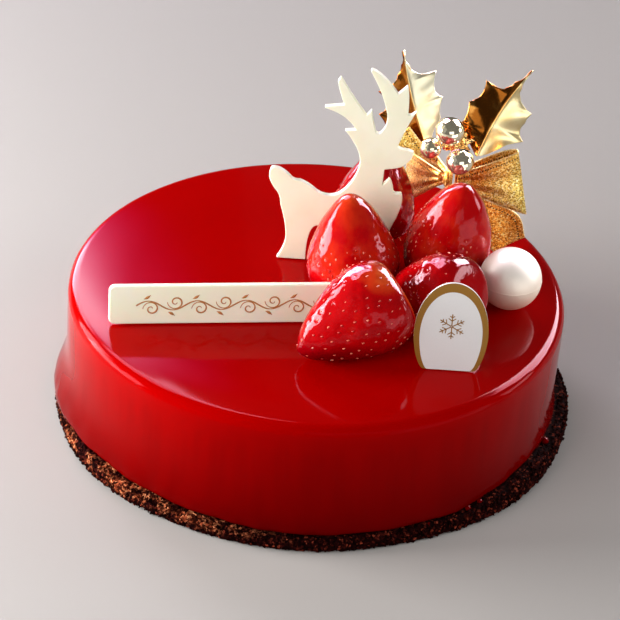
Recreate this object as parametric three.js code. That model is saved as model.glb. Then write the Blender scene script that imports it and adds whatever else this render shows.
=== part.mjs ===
import * as THREE from "three";
import { mergeVertices } from "three/addons/utils/BufferGeometryUtils.js";

// A round mirror-glazed Christmas cake on a chocolate crumb base, with its toppings: five glazed
// strawberries, a white chocolate reindeer and bar, a pearl ball, an egg-shaped card and a gold
// holly pick with a ribbon bow. Millimetres, +Z up, -Y is the front. The origin is the centre of
// the crumb base's underside.

// Driving dimensions
const gap = 0.3; // between pieces that touch
const cakeRadius = 75;
const cakeTop = 41.3;
const shoulderRadius = 3.4;
const crownDrop = 0.5; // how far the glaze has sunk where the top meets the shoulder
const baseRadius = 79;
const baseThickness = 4;
const crumbReach = 72; // inside this radius the crumb layer is flat
const plateThickness = 1.9; // reindeer and bar
const plateLean = 4; // degrees that they lean back
const barSize = [71, 12.7]; // length and height
const barCorner = 1.9;
const barTurn = 8; // degrees from facing the front
const ribbonWidth = 22;
const ribbonPinch = 3.6; // the ribbon's width where the knot gathers it
const ribbonThickness = 0.4;
const stemRadius = 0.9;
const wireRadius = 0.45;
const pearlRadius = 9.5;

// Where the toppings stand on the glaze, as x and y
const pearlPlace = [57.3, -4.8];
const reindeerPlace = [0, 14.2];
const barPlace = [-25.6, -24];
const cardPlace = [39.4, -41.6];
const pickPlace = [40.5, 30.2];

const degree = Math.PI / 180;
const group = new THREE.Group();

function addPiece(name, geometry, material) {
  const mesh = new THREE.Mesh(geometry, material);
  mesh.name = name;
  group.add(mesh);
  return mesh;
}

function finish(colour, roughness, metalness = 0) {
  return new THREE.MeshStandardMaterial({ color: colour, roughness, metalness });
}

// Geometry helpers

// A bump of height 1 at the angle centre, in degrees, that fades out over width degrees.
function bumpAt(angle, centre, width) {
  const away = Math.atan2(Math.sin(angle - centre * degree), Math.cos(angle - centre * degree));
  return Math.exp(-((away / (width * degree)) ** 2));
}

// A repeatable random number from 0 to 1 for each whole number.
function randomOf(seed) {
  const value = Math.sin(seed * 12.9898 + 4.1414) * 43758.5453;
  return value - Math.floor(value);
}

// Revolves [radius, height] points about Z, then moves each vertex by a rule in radius, height
// and angle. The profile starts and ends on the axis.
function revolve(profile, segments, rule) {
  const points = profile.map(([radius, height]) => new THREE.Vector2(radius, height));
  const geometry = new THREE.LatheGeometry(points, segments);
  geometry.rotateX(Math.PI / 2);
  const place = geometry.attributes.position;
  for (let i = 0; i < place.count; i += 1) {
    const radius = Math.hypot(place.getX(i), place.getY(i));
    const angle = Math.atan2(place.getY(i), place.getX(i));
    const [newRadius, newHeight] = rule(radius, place.getZ(i), angle);
    place.setXYZ(i, newRadius * Math.cos(angle), newRadius * Math.sin(angle), newHeight);
  }
  return closed(geometry);
}

// Keeps only position, with shared vertices merged, and turns the faces outward.
function closed(geometry) {
  geometry.deleteAttribute("normal");
  geometry.deleteAttribute("uv");
  const merged = mergeVertices(geometry, 1e-4);
  const index = merged.index.array;
  const kept = [];
  const triangle = new THREE.Triangle();
  const place = merged.attributes.position;
  for (let i = 0; i < index.length; i += 3) {
    triangle.setFromAttributeAndIndices(place, index[i], index[i + 1], index[i + 2]);
    if (triangle.getArea() > 1e-7) {
      kept.push(index[i], index[i + 1], index[i + 2]);
    }
  }
  merged.setIndex(volumeOf(place, kept) < 0 ? kept.toReversed() : kept);
  merged.computeVertexNormals();
  return merged;
}

function volumeOf(place, index) {
  const corner = [new THREE.Vector3(), new THREE.Vector3(), new THREE.Vector3()];
  let volume = 0;
  for (let i = 0; i < index.length; i += 3) {
    corner.forEach((point, k) => point.fromBufferAttribute(place, index[i + k]));
    volume += corner[0].dot(corner[1].clone().cross(corner[2])) / 6;
  }
  return volume;
}

// A thin solid round the middle surface pointAt(u, v). Each face is that surface moved by half the
// thickness along its normal, and both faces are split into triangles alike.
function sheetSolid(pointAt, rows, columns, thickness) {
  const middle = [];
  for (let i = 0; i <= rows; i += 1) {
    for (let j = 0; j <= columns; j += 1) {
      middle.push(pointAt(i / rows, j / columns));
    }
  }
  const at = (i, j) => middle[i * (columns + 1) + j];
  const clampTo = (value, most) => Math.min(Math.max(value, 0), most);
  const positions = [];
  for (const side of [0.5, -0.5]) {
    for (let i = 0; i <= rows; i += 1) {
      for (let j = 0; j <= columns; j += 1) {
        const along = at(clampTo(i + 1, rows), j).clone().sub(at(clampTo(i - 1, rows), j));
        const across = at(i, clampTo(j + 1, columns)).clone().sub(at(i, clampTo(j - 1, columns)));
        const normal = along.cross(across).normalize();
        const point = at(i, j).clone().addScaledVector(normal, side * thickness);
        positions.push(point.x, point.y, point.z);
      }
    }
  }
  const layer = (rows + 1) * (columns + 1);
  const index = [];
  const quad = (a, b, c, d) => index.push(a, b, c, a, c, d);
  const corner = (i, j, back) => i * (columns + 1) + j + (back ? layer : 0);
  for (let i = 0; i < rows; i += 1) {
    for (let j = 0; j < columns; j += 1) {
      quad(corner(i, j), corner(i + 1, j), corner(i + 1, j + 1), corner(i, j + 1));
      const [a, b] = [corner(i, j, true), corner(i + 1, j, true)];
      const [c, d] = [corner(i + 1, j + 1, true), corner(i, j + 1, true)];
      index.push(a, c, b, a, d, c);
    }
  }
  const rim = (i1, j1, i2, j2) =>
    quad(corner(i1, j1), corner(i2, j2), corner(i2, j2, true), corner(i1, j1, true));
  for (let i = 0; i < rows; i += 1) {
    rim(i + 1, 0, i, 0);
    rim(i, columns, i + 1, columns);
  }
  for (let j = 0; j < columns; j += 1) {
    rim(0, j, 0, j + 1);
    rim(rows, j + 1, rows, j);
  }
  const geometry = new THREE.BufferGeometry();
  geometry.setAttribute("position", new THREE.Float32BufferAttribute(positions, 3));
  geometry.setIndex(index);
  return closed(geometry);
}

// A flat outline with softened edges, standing upright in the XZ plane and centred in Y.
function uprightPlate(shape, thickness, bevel, curveSegments) {
  const geometry = new THREE.ExtrudeGeometry(shape, {
    depth: thickness - 2 * bevel,
    bevelEnabled: bevel > 0,
    bevelThickness: bevel,
    bevelSize: bevel,
    bevelOffset: -bevel,
    bevelSegments: 1,
    curveSegments,
  });
  geometry.translate(0, 0, bevel - thickness / 2);
  geometry.rotateX(Math.PI / 2);
  return closed(geometry);
}

// Stands an upright piece on the glaze, turned about Z and leaning back.
function stand(mesh, [x, y], turn, lean) {
  mesh.rotation.order = "ZXY";
  mesh.rotation.set(-lean * degree, 0, turn * degree);
  mesh.position.set(x, y, cakeTop);
  mesh.updateMatrixWorld(true);
  const lowest = new THREE.Box3().setFromObject(mesh, true).min.z;
  mesh.position.z += cakeTop + gap - lowest;
}

// Crumb base: a disc of chocolate crumbs that stands out round the foot and is heaped higher at
// the front left and the right.
function crumbHeight(angle) {
  const heaps = 1.7 * bumpAt(angle, -138, 24) + 3.2 * bumpAt(angle, -24, 26);
  return baseThickness - 0.4 + heaps + 0.25 * Math.sin(9 * angle) + 0.15 * Math.sin(23 * angle + 1);
}

function rimShare(radius) {
  return THREE.MathUtils.smoothstep(radius, crumbReach - 6, crumbReach);
}

function crumbBase() {
  const segments = 120;
  const profile = [
    [0, 0],
    [60, 0],
    [76, 0],
    [baseRadius - 0.8, 0],
    [baseRadius, 1],
    [baseRadius, 2.4],
    [baseRadius - 0.9, baseThickness - 0.4],
    [baseRadius - 2.6, baseThickness],
    [crumbReach, baseThickness],
    [crumbReach - 6, baseThickness],
    [0, baseThickness],
  ];
  return revolve(profile, segments, (radius, height, angle) => {
    const step = Math.round((angle / (2 * Math.PI)) * segments);
    const outer = radius > crumbReach + 4 ? 1 : 0;
    const crumb = outer * (randomOf(step * 7 + Math.round(height * 3)) - 0.5);
    const sway = outer * (0.5 * Math.sin(3 * angle + 2) + 0.35 * Math.sin(7 * angle));
    const upper = (height / baseThickness) * rimShare(radius);
    const raised = height + upper * (crumbHeight(angle) - baseThickness);
    const lift = height > 0.5 && radius > baseRadius - 2 ? crumb * 0.5 : 0;
    return [radius + crumb * 1.3 + sway, Math.max(raised + lift, 0)];
  });
}

// Glazed cake: one solid with a flat mirror top, a tight rounded shoulder and an almost upright
// side. The glaze has pooled outward at the foot, most of all on the left.
function footFlare(height, angle) {
  const reach = 0.9 + 2.9 * bumpAt(angle, 180, 42) + 0.5 * bumpAt(angle, -100, 30);
  return reach * Math.exp(-(((height - baseThickness) / 8) ** 2));
}

function sideTaper(height, angle) {
  return 1.3 * bumpAt(angle, -5, 40) * (1 - height / cakeTop);
}

function glazedCake() {
  const underside = baseThickness + gap + 0.15;
  const shoulderCentre = [cakeRadius - shoulderRadius, cakeTop - crownDrop - shoulderRadius];
  const shoulder = [0, 22, 45, 67, 90].map((turn) => [
    shoulderCentre[0] + shoulderRadius * Math.cos(turn * degree),
    shoulderCentre[1] + shoulderRadius * Math.sin(turn * degree),
  ]);
  const profile = [
    [0, underside],
    [crumbReach - 6, underside],
    [crumbReach, underside],
    [cakeRadius - 0.6, underside],
    ...[underside + 1.2, 8, 11, 15, 20, 27, 33].map((height) => [cakeRadius, height]),
    ...shoulder,
    [67, cakeTop - 0.15],
    [60, cakeTop],
    [0, cakeTop],
  ];
  return revolve(profile, 96, (radius, height, angle) => {
    const atSide = radius > crumbReach + 0.5 && height < cakeTop - 6;
    const wall = atSide ? footFlare(height, angle) - sideTaper(height, angle) : 0;
    const low = Math.exp(-(((height - underside) / 5) ** 2)) * rimShare(radius);
    return [radius + wall, height + low * (crumbHeight(angle) - baseThickness)];
  });
}

// Strawberries: each lies or stands on the glaze with its tip pointing along elevation and
// azimuth. Lengths run from the cut stalk end to the tip. Past the shoulder a berry narrows as
// its three taper numbers say: how late it narrows, how steeply, and how blunt its tip is.
const strawberryShoulder = 0.28; // share of the length where a berry is widest
const stalkEnd = 0.62; // share of the width that is left at the cut end

const strawberries = [
  {
    name: "strawberry_front",
    place: [12.4, -35],
    up: -25,
    turn: 206,
    length: 34.4,
    width: 27.7,
    taper: [1.6, 0.84, 0.22],
  },
  {
    name: "strawberry_left",
    place: [9.5, -1.2],
    up: 83,
    turn: 135,
    length: 31,
    width: 28.1,
    taper: [1.6, 0.87, 0.27],
  },
  {
    name: "strawberry_right",
    place: [38.7, 7],
    up: 77,
    turn: -42,
    length: 34.4,
    width: 26.2,
    taper: [1.8, 0.78, 0.2],
  },
  {
    name: "strawberry_low",
    place: [35.2, -19.3],
    up: -25,
    turn: 145,
    length: 31.3,
    width: 24.5,
    taper: [1.7, 0.85, 0.25],
  },
  {
    name: "strawberry_back",
    place: [16.1, 30.7],
    up: 70,
    turn: 67,
    length: 27.6,
    width: 25.3,
    taper: [1.7, 0.85, 0.2],
  },
];

function berryWidth([late, steep, blunt], share) {
  if (share < strawberryShoulder) {
    const rise = (strawberryShoulder - share) / strawberryShoulder;
    return stalkEnd + (1 - stalkEnd) * Math.sqrt(1 - rise ** 2);
  }
  const fall = (share - strawberryShoulder) / (1 - strawberryShoulder);
  return (1 - fall ** late) ** (steep - blunt * fall ** 2);
}

function strawberry(berry, number) {
  const shares = [0, 0.04, 0.1, 0.18, 0.28, 0.4, 0.52, 0.63, 0.73, 0.82, 0.9, 0.955, 0.988];
  const wall = shares.map((share) => [
    (berryWidth(berry.taper, share) * berry.width) / 2,
    (share - 0.4) * berry.length,
  ]);
  const profile = [[0, -0.39 * berry.length], ...wall, [0, 0.6 * berry.length]];
  const geometry = revolve(profile, 24, (radius, height, angle) => {
    const wave = 0.018 * Math.sin(3 * angle + number) + 0.012 * Math.sin(5 * angle + 2 * number);
    return [radius * (1 + wave), height];
  });
  const mesh = addPiece(berry.name, geometry, finish(0xb4080a, 0.15));
  const level = Math.cos(berry.up * degree);
  const tipDirection = new THREE.Vector3(
    level * Math.cos(berry.turn * degree),
    level * Math.sin(berry.turn * degree),
    Math.sin(berry.up * degree),
  );
  mesh.quaternion.setFromUnitVectors(new THREE.Vector3(0, 0, 1), tipDirection);
  mesh.position.set(...berry.place, 0);
  mesh.updateMatrixWorld(true);
  const lowest = new THREE.Box3().setFromObject(mesh, true).min.z;
  mesh.position.z = cakeTop + gap - lowest;
}

// Reindeer: a flat cut-out of white chocolate, its legs at height 0. Its outline runs from the
// tail over the back, antlers, head, chest and legs. Each row is where a stretch ends, after
// the point that bends it where the stretch is curved.
const reindeerStart = [-16.4, 29.7];
const reindeerOutline = [
  // tail, rump, back and neck
  [-16.2, 30.9, -13.9, 30.3],
  [-11.6, 29.3, -10, 27.4],
  [-9.1, 26.5, -7.3, 26.6],
  [-5, 25.9, -2.1, 23.4],
  [0.8, 21.4, 4.2, 22.9],
  [7.9, 25.3, 9.7, 30.9],
  [11.3, 35.7, 7.8, 40.8],
  [6.6, 42.8, 5.1, 44.3],
  // rear antler
  [8.4, 44.7],
  [5.9, 49.4, -1.3, 51.3],
  [-1.3, 51.8],
  [4.4, 52.7],
  [3, 56, 2, 60.2],
  [2.8, 61.6],
  [3.5, 60.8],
  [6.5, 55.8, 11.2, 49.7],
  [12.7, 51.5],
  [13.2, 47.9, 14.4, 44.3],
  // front antler
  [15.4, 43.5, 16.2, 44.9],
  [17.8, 46.8, 17.3, 50.6],
  [16, 56, 13.3, 61.1],
  [11.5, 64.4],
  [12, 64.8],
  [15.8, 63.4, 20.1, 57.3],
  [22.8, 60.1],
  [23.8, 56.5, 23.5, 50.6],
  [24.5, 50.7],
  [26, 51.9],
  [23.4, 47, 21.1, 40],
  // face and throat
  [22.2, 39.1, 24.3, 39.1],
  [26, 38.5],
  [26.2, 35.9, 22.6, 33.3],
  [20, 32.5, 17.7, 32.2],
  // chest and ruff
  [17.4, 26.9],
  [19.4, 29.1],
  [20.4, 28.1, 20.9, 24.8],
  [21.4, 24.3],
  [23.3, 24.4],
  [24.6, 22.3, 22.2, 15.6],
  // front legs, belly and hind leg
  [19.4, 10, 18.8, 0],
  [10.4, 0],
  [11.4, 6.9, 8.6, 11.3],
  [3.5, 12.3, -1.6, 11.8],
  [-4.4, 10.9, -4.3, 0],
  [-13.1, 0],
  [-10.7, 3.9, -10.7, 7.5],
  [-10.7, 11.5, -12.8, 18.1],
  [-13.1, 21.5, -14.4, 22.9],
  [-17.6, 26.9, ...reindeerStart],
];

function reindeer() {
  const shape = new THREE.Shape();
  shape.moveTo(...reindeerStart);
  for (const stretch of reindeerOutline) {
    if (stretch.length === 2) {
      shape.lineTo(...stretch);
    } else {
      shape.quadraticCurveTo(...stretch);
    }
  }
  const geometry = uprightPlate(shape, plateThickness, 0, 3);
  const mesh = addPiece("reindeer_plate", geometry, finish(0xf3e4c8, 0.5));
  stand(mesh, reindeerPlace, 0, plateLean);
}

function roundedBar(length, height, corner) {
  const shape = new THREE.Shape();
  const [right, top] = [length / 2, height];
  shape.moveTo(-right + corner, 0);
  shape.lineTo(right - corner, 0);
  shape.absarc(right - corner, corner, corner, -90 * degree, 0);
  shape.absarc(right - corner, top - corner, corner, 0, 90 * degree);
  shape.absarc(-right + corner, top - corner, corner, 90 * degree, 180 * degree);
  shape.absarc(-right + corner, corner, corner, 180 * degree, 270 * degree);
  return shape;
}

function chocolateBar() {
  const geometry = uprightPlate(roundedBar(...barSize, barCorner), plateThickness, gap, 4);
  const mesh = addPiece("chocolate_bar", geometry, finish(0xf2e6cd, 0.45));
  stand(mesh, barPlace, barTurn, plateLean);
}

// Card: an egg shape, wide below and cut off level at its foot.
function eggCard() {
  const [thickness, lean] = [0.7, 6];
  const [halfWidth, height] = [10.8, 28.2];
  const [shoulderHeight, footHalf] = [11.6, 7.4];
  const shape = new THREE.Shape();
  shape.moveTo(-footHalf, 0);
  shape.lineTo(footHalf, 0);
  shape.bezierCurveTo(footHalf + 1.6, 0.6, halfWidth, 6.5, halfWidth, shoulderHeight);
  shape.bezierCurveTo(halfWidth, 20.8, 6.2, height, 0, height);
  shape.bezierCurveTo(-6.2, height, -halfWidth, 20.8, -halfWidth, shoulderHeight);
  shape.bezierCurveTo(-halfWidth, 6.5, -footHalf - 1.6, 0.6, -footHalf, 0);
  const mesh = addPiece("egg_card", uprightPlate(shape, thickness, 0, 8), finish(0xe8e6e2, 0.6));
  stand(mesh, cardPlace, 0, lean);
}

function pearlBall() {
  const geometry = closed(new THREE.SphereGeometry(pearlRadius, 24, 14));
  const mesh = addPiece("pearl_ball", geometry, finish(0xf4efe8, 0.3));
  mesh.position.set(...pearlPlace, cakeTop + gap + pearlRadius);
}

// Gold pick: a stem on the glaze, a tuft of foil, three balls, two holly leaves and a bow.
const gold = finish(0xd9a93a, 0.25, 1);
const paleGold = finish(0xe9dcae, 0.2, 1);
const ribbonGold = finish(0xc79a4b, 0.6, 0.4);

// A point given by its x, y and height above the glaze.
function above(x, y, height) {
  return new THREE.Vector3(x, y, cakeTop + height);
}

function pickStem() {
  const top = tuftPlace[2] - tuftSize[2] * (1 + tuftFrill) - gap;
  const curve = new THREE.LineCurve3(above(...pickPlace, gap), above(...pickPlace, top));
  const section = new THREE.Shape();
  section.absarc(0, 0, stemRadius, 0, 2 * Math.PI);
  const geometry = new THREE.ExtrudeGeometry(section, {
    extrudePath: curve,
    steps: 1,
    curveSegments: 5,
  });
  addPiece("pick_stem", closed(geometry), gold);
}

// The tuft is a frilled cushion of foil, given by its centre and its half sizes.
const tuftPlace = [39.3, 29, 36];
const tuftSize = [4.5, 1.9, 3.9];
const tuftFrill = 0.16; // how far its edge goes in and out, as a share of its size

function foilTuft() {
  const geometry = new THREE.SphereGeometry(1, 14, 8);
  const place = geometry.attributes.position;
  for (let i = 0; i < place.count; i += 1) {
    const turn = Math.atan2(place.getY(i), place.getX(i));
    const ring = Math.hypot(place.getX(i), place.getY(i));
    const frill = 1 + tuftFrill * Math.sin(7 * turn) * ring ** 3;
    const [x, y, z] = [place.getX(i) * frill, place.getZ(i), place.getY(i) * frill];
    place.setXYZ(i, x * tuftSize[0], y * tuftSize[1], z * tuftSize[2]);
  }
  const mesh = addPiece("foil_tuft", closed(geometry), gold);
  mesh.position.copy(above(...tuftPlace));
}

const goldBalls = [
  { name: "gold_ball_top", place: [36.6, 22.6, 43.3], radius: 4.35 },
  { name: "gold_ball_left", place: [31.3, 23.4, 36.6], radius: 3.3 },
  { name: "gold_ball_low", place: [40.4, 21.6, 33.6], radius: 4.2 },
];

// A ball has a short wire that runs from it to the tuft.
function goldBall({ name, place, radius }) {
  const centre = above(...place);
  const outward = centre.clone().sub(above(...tuftPlace));
  const reach = outward.length();
  outward.normalize();
  const tuftEdge = 1 / Math.hypot(...outward.toArray().map((part, axis) => part / tuftSize[axis]));
  const wire = reach - tuftEdge - 2 * gap;
  const profile = [[0, -wire], [wireRadius, -wire]];
  const steps = 10;
  const first = Math.asin(wireRadius / radius);
  for (let step = 0; step < steps; step += 1) {
    const turn = first + ((Math.PI - first) * step) / steps;
    profile.push([radius * Math.sin(turn), -radius * Math.cos(turn)]);
  }
  profile.push([0, radius]);
  const mesh = addPiece(name, revolve(profile, 16, (across, along) => [across, along]), paleGold);
  mesh.quaternion.setFromUnitVectors(new THREE.Vector3(0, 0, 1), outward);
  mesh.position.copy(centre);
}

// Holly leaves: they lean back, and their halves fold back from the midrib like a ridge. The
// midrib bows to the left. The veins run forward at vein slant, so an edge is given by stops of
// where its vein would leave the midrib and how far out the edge then lies. Side -1 is the left.
const veinSlant = 0.5;
const leafThickness = 0.45;
const leafWave = 0.55; // how far the edge waves to and fro
const lastVein = 0.985; // share of the midrib where the last vein leaves it
const narrowest = 0.35; // half width at the very tip
const edgeSag = 0.1; // how hollow the edge is between two stops, as a share of their distance

const leftLeaf = {
  name: "holly_leaf_left",
  base: [30.2, 29.6, 33.3],
  tip: [21.1, 38.5, 61],
  bow: 0.9,
  halves: [
    {
      side: -1,
      fold: 18,
      edge: [
        [0, 0.5], [1.2, 4.6], [3.4, 10.8], [6.4, 12], [8.4, 9.6], [10.4, 8.6],
        [12.4, 9], [14.1, 10.4], [16, 7.2], [18.7, 4.9], [21.7, 3.1], [25.4, 1.4],
      ],
    },
    {
      side: 1,
      fold: 16,
      edge: [
        [0, 0.5], [0.6, 2.3], [2.8, 4.2], [3.8, 7.1], [6.7, 7.6], [8.9, 9.3],
        [10.6, 8.2], [12.7, 7.5], [17.3, 9], [19.4, 4.8], [21.8, 2.7], [24.7, 1.3],
      ],
    },
  ],
};

const rightLeaf = {
  name: "holly_leaf_right",
  base: [45.5, 28.4, 32],
  tip: [60.3, 36.5, 58.3],
  bow: 1.6,
  halves: [
    {
      side: -1,
      fold: 18,
      edge: [
        [0, 0.5], [0.4, 4.2], [0.7, 7.1], [1.7, 8.7], [4.4, 8.2], [8.2, 9.4],
        [10.4, 8], [13, 7.2], [16.8, 8.8], [18.8, 4.2], [20.9, 2.6], [24.6, 1.3],
      ],
    },
    {
      side: 1,
      fold: 16,
      edge: [
        [0, 1.4], [0.6, 3.2], [2, 6.2], [3.1, 8], [4, 12.8], [7.1, 10.4],
        [10.8, 10], [14.3, 10], [16.9, 6.4], [20.1, 3.5], [24, 1.5], [28, 0.5],
      ],
    },
  ],
};

// The edge's stop at a share of its way from the base to the tip, as along and out.
function edgeStop(edge, length, share) {
  const stops = [...edge, [length, 0]];
  const place = share * (stops.length - 1);
  const first = Math.min(Math.floor(place), stops.length - 2);
  const [[from, start], [to, end]] = [stops[first], stops[first + 1]];
  const part = place - first;
  const sag = edgeSag * (to - from) * Math.sin(Math.PI * part);
  return [from + (to - from) * part, Math.max(start + (end - start) * part - sag, narrowest)];
}

function hollyLeaf(leaf) {
  const base = above(...leaf.base);
  const tip = above(...leaf.tip);
  const length = tip.distanceTo(base);
  const along = tip.clone().sub(base).normalize();
  const facing = new THREE.Vector3(0, -1, 0).addScaledVector(along, along.y).normalize();
  const across = along.clone().cross(facing);
  const rows = 24;
  const columns = 4;
  const geometry = sheetSolid((u, v) => {
    const half = leaf.halves[v < 0.5 ? 0 : 1];
    const share = Math.abs(v - 0.5) * 2;
    const [edgeStart, edgeOut] = edgeStop(half.edge, length, u);
    const start = THREE.MathUtils.lerp(u * length * lastVein, edgeStart, share);
    const out = share * edgeOut;
    const forward = Math.min(start + out * veinSlant, length);
    const sideways = half.side * out * Math.cos(half.fold * degree);
    const bowed = leaf.bow * Math.sin((Math.PI * forward) / length);
    const wave = leafWave * share * Math.sin((start / length) * 5 * Math.PI + half.side);
    return base
      .clone()
      .addScaledVector(along, forward)
      .addScaledVector(across, sideways - bowed)
      .addScaledVector(facing, wave - out * Math.tan(half.fold * degree));
  }, rows, columns, leafThickness);
  addPiece(leaf.name, geometry, paleGold);
}

// Bow: each loop leaves the knot at the front, turns round and comes back behind it. It is
// pinched at the knot and fans out to the ribbon's full width. A loop is given by the direction
// in which it leaves the knot, the direction across the ribbon, how far it reaches, how far apart
// its two layers are, and how much higher the back layer lies.
const knotPlace = [37.4, 26.6, 24.6];
const knotSize = [1.5, 2.7, 3.2];
const knotReach = 2.2; // where a loop starts, from the knot's centre
const knotDepth = 1.1; // how far in front of that centre, and behind it

function ribbonLoop({ name, out, lean, reach, depth, raise }) {
  const knot = above(...knotPlace);
  const outward = new THREE.Vector3(...out).normalize();
  const backward = new THREE.Vector3(0, 0, 1).cross(outward).normalize();
  backward.multiplyScalar(Math.sign(backward.y));
  const widthDirection = new THREE.Vector3(...lean).normalize();
  const geometry = sheetSolid((u, v) => {
    const opening = Math.sin(Math.PI * (0.01 + 0.98 * u));
    const side = -Math.cos(Math.PI * u);
    const half = THREE.MathUtils.lerp(ribbonPinch, ribbonWidth, opening ** 0.9) / 2;
    const away = THREE.MathUtils.lerp(knotReach, reach, opening ** 0.9);
    const point = knot.clone().addScaledVector(outward, away);
    point.addScaledVector(backward, side * (knotDepth + (depth / 2 - knotDepth) * opening));
    point.z += raise * Math.max(side, 0) * opening;
    return point.addScaledVector(widthDirection, (2 * v - 1) * half);
  }, 26, 3, ribbonThickness);
  addPiece(name, geometry, ribbonGold);
}

const ribbonLoops = [
  {
    name: "ribbon_loop_right",
    out: [1, 0, 0.01],
    lean: [-0.2, 0, 1],
    reach: 22.6,
    depth: 5,
    raise: 1.8,
  },
  {
    name: "ribbon_loop_left",
    out: [-0.5, 0.8, -0.48],
    lean: [0.1, 0.05, 1],
    reach: 26,
    depth: 7,
    raise: 4,
  },
];

// A tail lies between two edges, each a smooth curve through a few points above the glaze.
function ribbonTail(name, upperEdge, lowerEdge) {
  const [upper, lower] = [upperEdge, lowerEdge].map(
    (edge) => new THREE.CatmullRomCurve3(edge.map((point) => above(...point))),
  );
  const geometry = sheetSolid(
    (u, v) => upper.getPoint(u).lerp(lower.getPoint(u), v),
    10,
    3,
    ribbonThickness,
  );
  addPiece(name, geometry, ribbonGold);
}

function ribbonKnot() {
  const geometry = new THREE.SphereGeometry(1, 14, 8);
  geometry.scale(...knotSize);
  const mesh = addPiece("ribbon_knot", closed(geometry), ribbonGold);
  mesh.position.copy(above(...knotPlace));
}

addPiece("chocolate_base", crumbBase(), finish(0x2a130b, 0.95));
addPiece("glazed_cake", glazedCake(), finish(0xa30008, 0.08));
strawberries.forEach(strawberry);
reindeer();
chocolateBar();
eggCard();
pearlBall();
pickStem();
foilTuft();
goldBalls.forEach(goldBall);
hollyLeaf(leftLeaf);
hollyLeaf(rightLeaf);
ribbonLoops.forEach(ribbonLoop);
ribbonTail(
  "ribbon_tail_right",
  [[39.8, 26.7, 21.2], [50, 26.6, 17.4], [59.6, 27.2, 12.8], [62.6, 27.8, 4.8]],
  [[39.2, 26, 17.6], [43, 24.8, 12], [48, 24.4, 6], [53.6, 24.4, 0.8]],
);
ribbonTail(
  "ribbon_tail_left",
  [[38.2, 28.4, 20.6], [39.4, 35, 16], [41.4, 42, 10], [43.4, 47, 3]],
  [[36.8, 28.2, 18], [36.4, 33, 12], [35.6, 37.6, 6], [34.8, 41, 0.8]],
);
ribbonTail(
  "ribbon_end_left",
  [[33.8, 27.6, 31.6], [31, 27.6, 33.4], [28.4, 28.2, 35.5], [24.4, 30.4, 39.6]],
  [[34, 27.3, 28.6], [30.6, 27.4, 29.8], [25.6, 28, 32.4], [21, 29, 33.9]],
);
ribbonKnot();

export default group;
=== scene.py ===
import math
from itertools import combinations

import bmesh
import bpy
import numpy as np
from mathutils import Matrix, Quaternion, Vector
from mathutils.kdtree import KDTree


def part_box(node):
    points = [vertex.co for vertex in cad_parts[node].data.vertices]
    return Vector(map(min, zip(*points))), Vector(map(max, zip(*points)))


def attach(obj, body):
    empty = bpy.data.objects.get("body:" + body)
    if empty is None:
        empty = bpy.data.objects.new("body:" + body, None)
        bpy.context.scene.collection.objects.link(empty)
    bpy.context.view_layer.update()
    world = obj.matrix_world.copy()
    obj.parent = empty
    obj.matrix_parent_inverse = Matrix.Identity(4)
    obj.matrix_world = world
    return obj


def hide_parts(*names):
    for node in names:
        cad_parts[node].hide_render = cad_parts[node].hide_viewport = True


# The looks of a round mirror-glazed Christmas cake with its toppings. Points are worked out in
# millimetres, in the frame of the CAD model, and become metres when a mesh is made.

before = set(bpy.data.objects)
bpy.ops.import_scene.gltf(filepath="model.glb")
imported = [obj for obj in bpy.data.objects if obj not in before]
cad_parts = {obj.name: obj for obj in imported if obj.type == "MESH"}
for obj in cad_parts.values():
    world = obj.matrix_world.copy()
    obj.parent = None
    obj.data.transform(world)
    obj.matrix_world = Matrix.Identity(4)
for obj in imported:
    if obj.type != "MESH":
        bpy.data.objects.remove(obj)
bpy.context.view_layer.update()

MM = 0.001
BODY = "root"

# Driving sizes, the same as the solids have
GAP = 0.3
CAKE_RADIUS = 75
CAKE_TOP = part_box("glazed_cake")[1].z / MM
SHOULDER_RADIUS = 3.4
CROWN_DROP = 0.5
CROWN_START = 55
CROWN_POWER = 2.3
BASE_RADIUS = 79
BASE_THICKNESS = 4
CRUMB_REACH = 72
PLATE_THICKNESS = 1.9
PLATE_LEAN = 4
TOPPING_FLOOR = CAKE_TOP + GAP


def add_object(name, data):
    made = bpy.data.objects.new(name, data)
    bpy.context.scene.collection.objects.link(made)
    return made


# Camera: it looks at the cake from the front, 33 degrees above the horizon, rolled a little

def make_camera():
    elevation, distance = math.radians(32.94), 1.0
    target = Vector((-0.00179, 0, 0.03209))
    back = Vector((0, -math.cos(elevation), math.sin(elevation)))
    facing = back.to_track_quat("Z", "Y").to_matrix().to_4x4()
    data = bpy.data.cameras.new("camera")
    data.sensor_width = 36
    data.lens = 191.55
    camera = add_object("camera", data)
    roll = Matrix.Rotation(math.radians(3.8), 4, "Z")
    camera.matrix_world = Matrix.Translation(target + back * distance) @ facing @ roll
    bpy.context.scene.camera = camera


make_camera()


# Geometry helpers

def unit(vectors):
    """Vectors along the last axis, brought to length 1."""
    vectors = np.asarray(vectors, float)
    return vectors / (np.linalg.norm(vectors, axis=-1, keepdims=True) + 1e-12)


def polar(radius, angle, height):
    """Points from their radius and angle about Z and their height."""
    return np.stack(np.broadcast_arrays(radius * np.cos(angle), radius * np.sin(angle), height), -1)


def grid_faces(rows, columns, closed=False):
    """Quads of a grid of rows by columns points. A closed grid joins its last column to its first."""
    index = np.arange(rows * columns).reshape(rows, columns)
    if closed:
        index = np.concatenate((index, index[:, :1]), 1)
    corners = (index[:-1, :-1], index[:-1, 1:], index[1:, 1:], index[1:, :-1])
    return np.stack(corners, -1).reshape(-1, 4).tolist()


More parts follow.
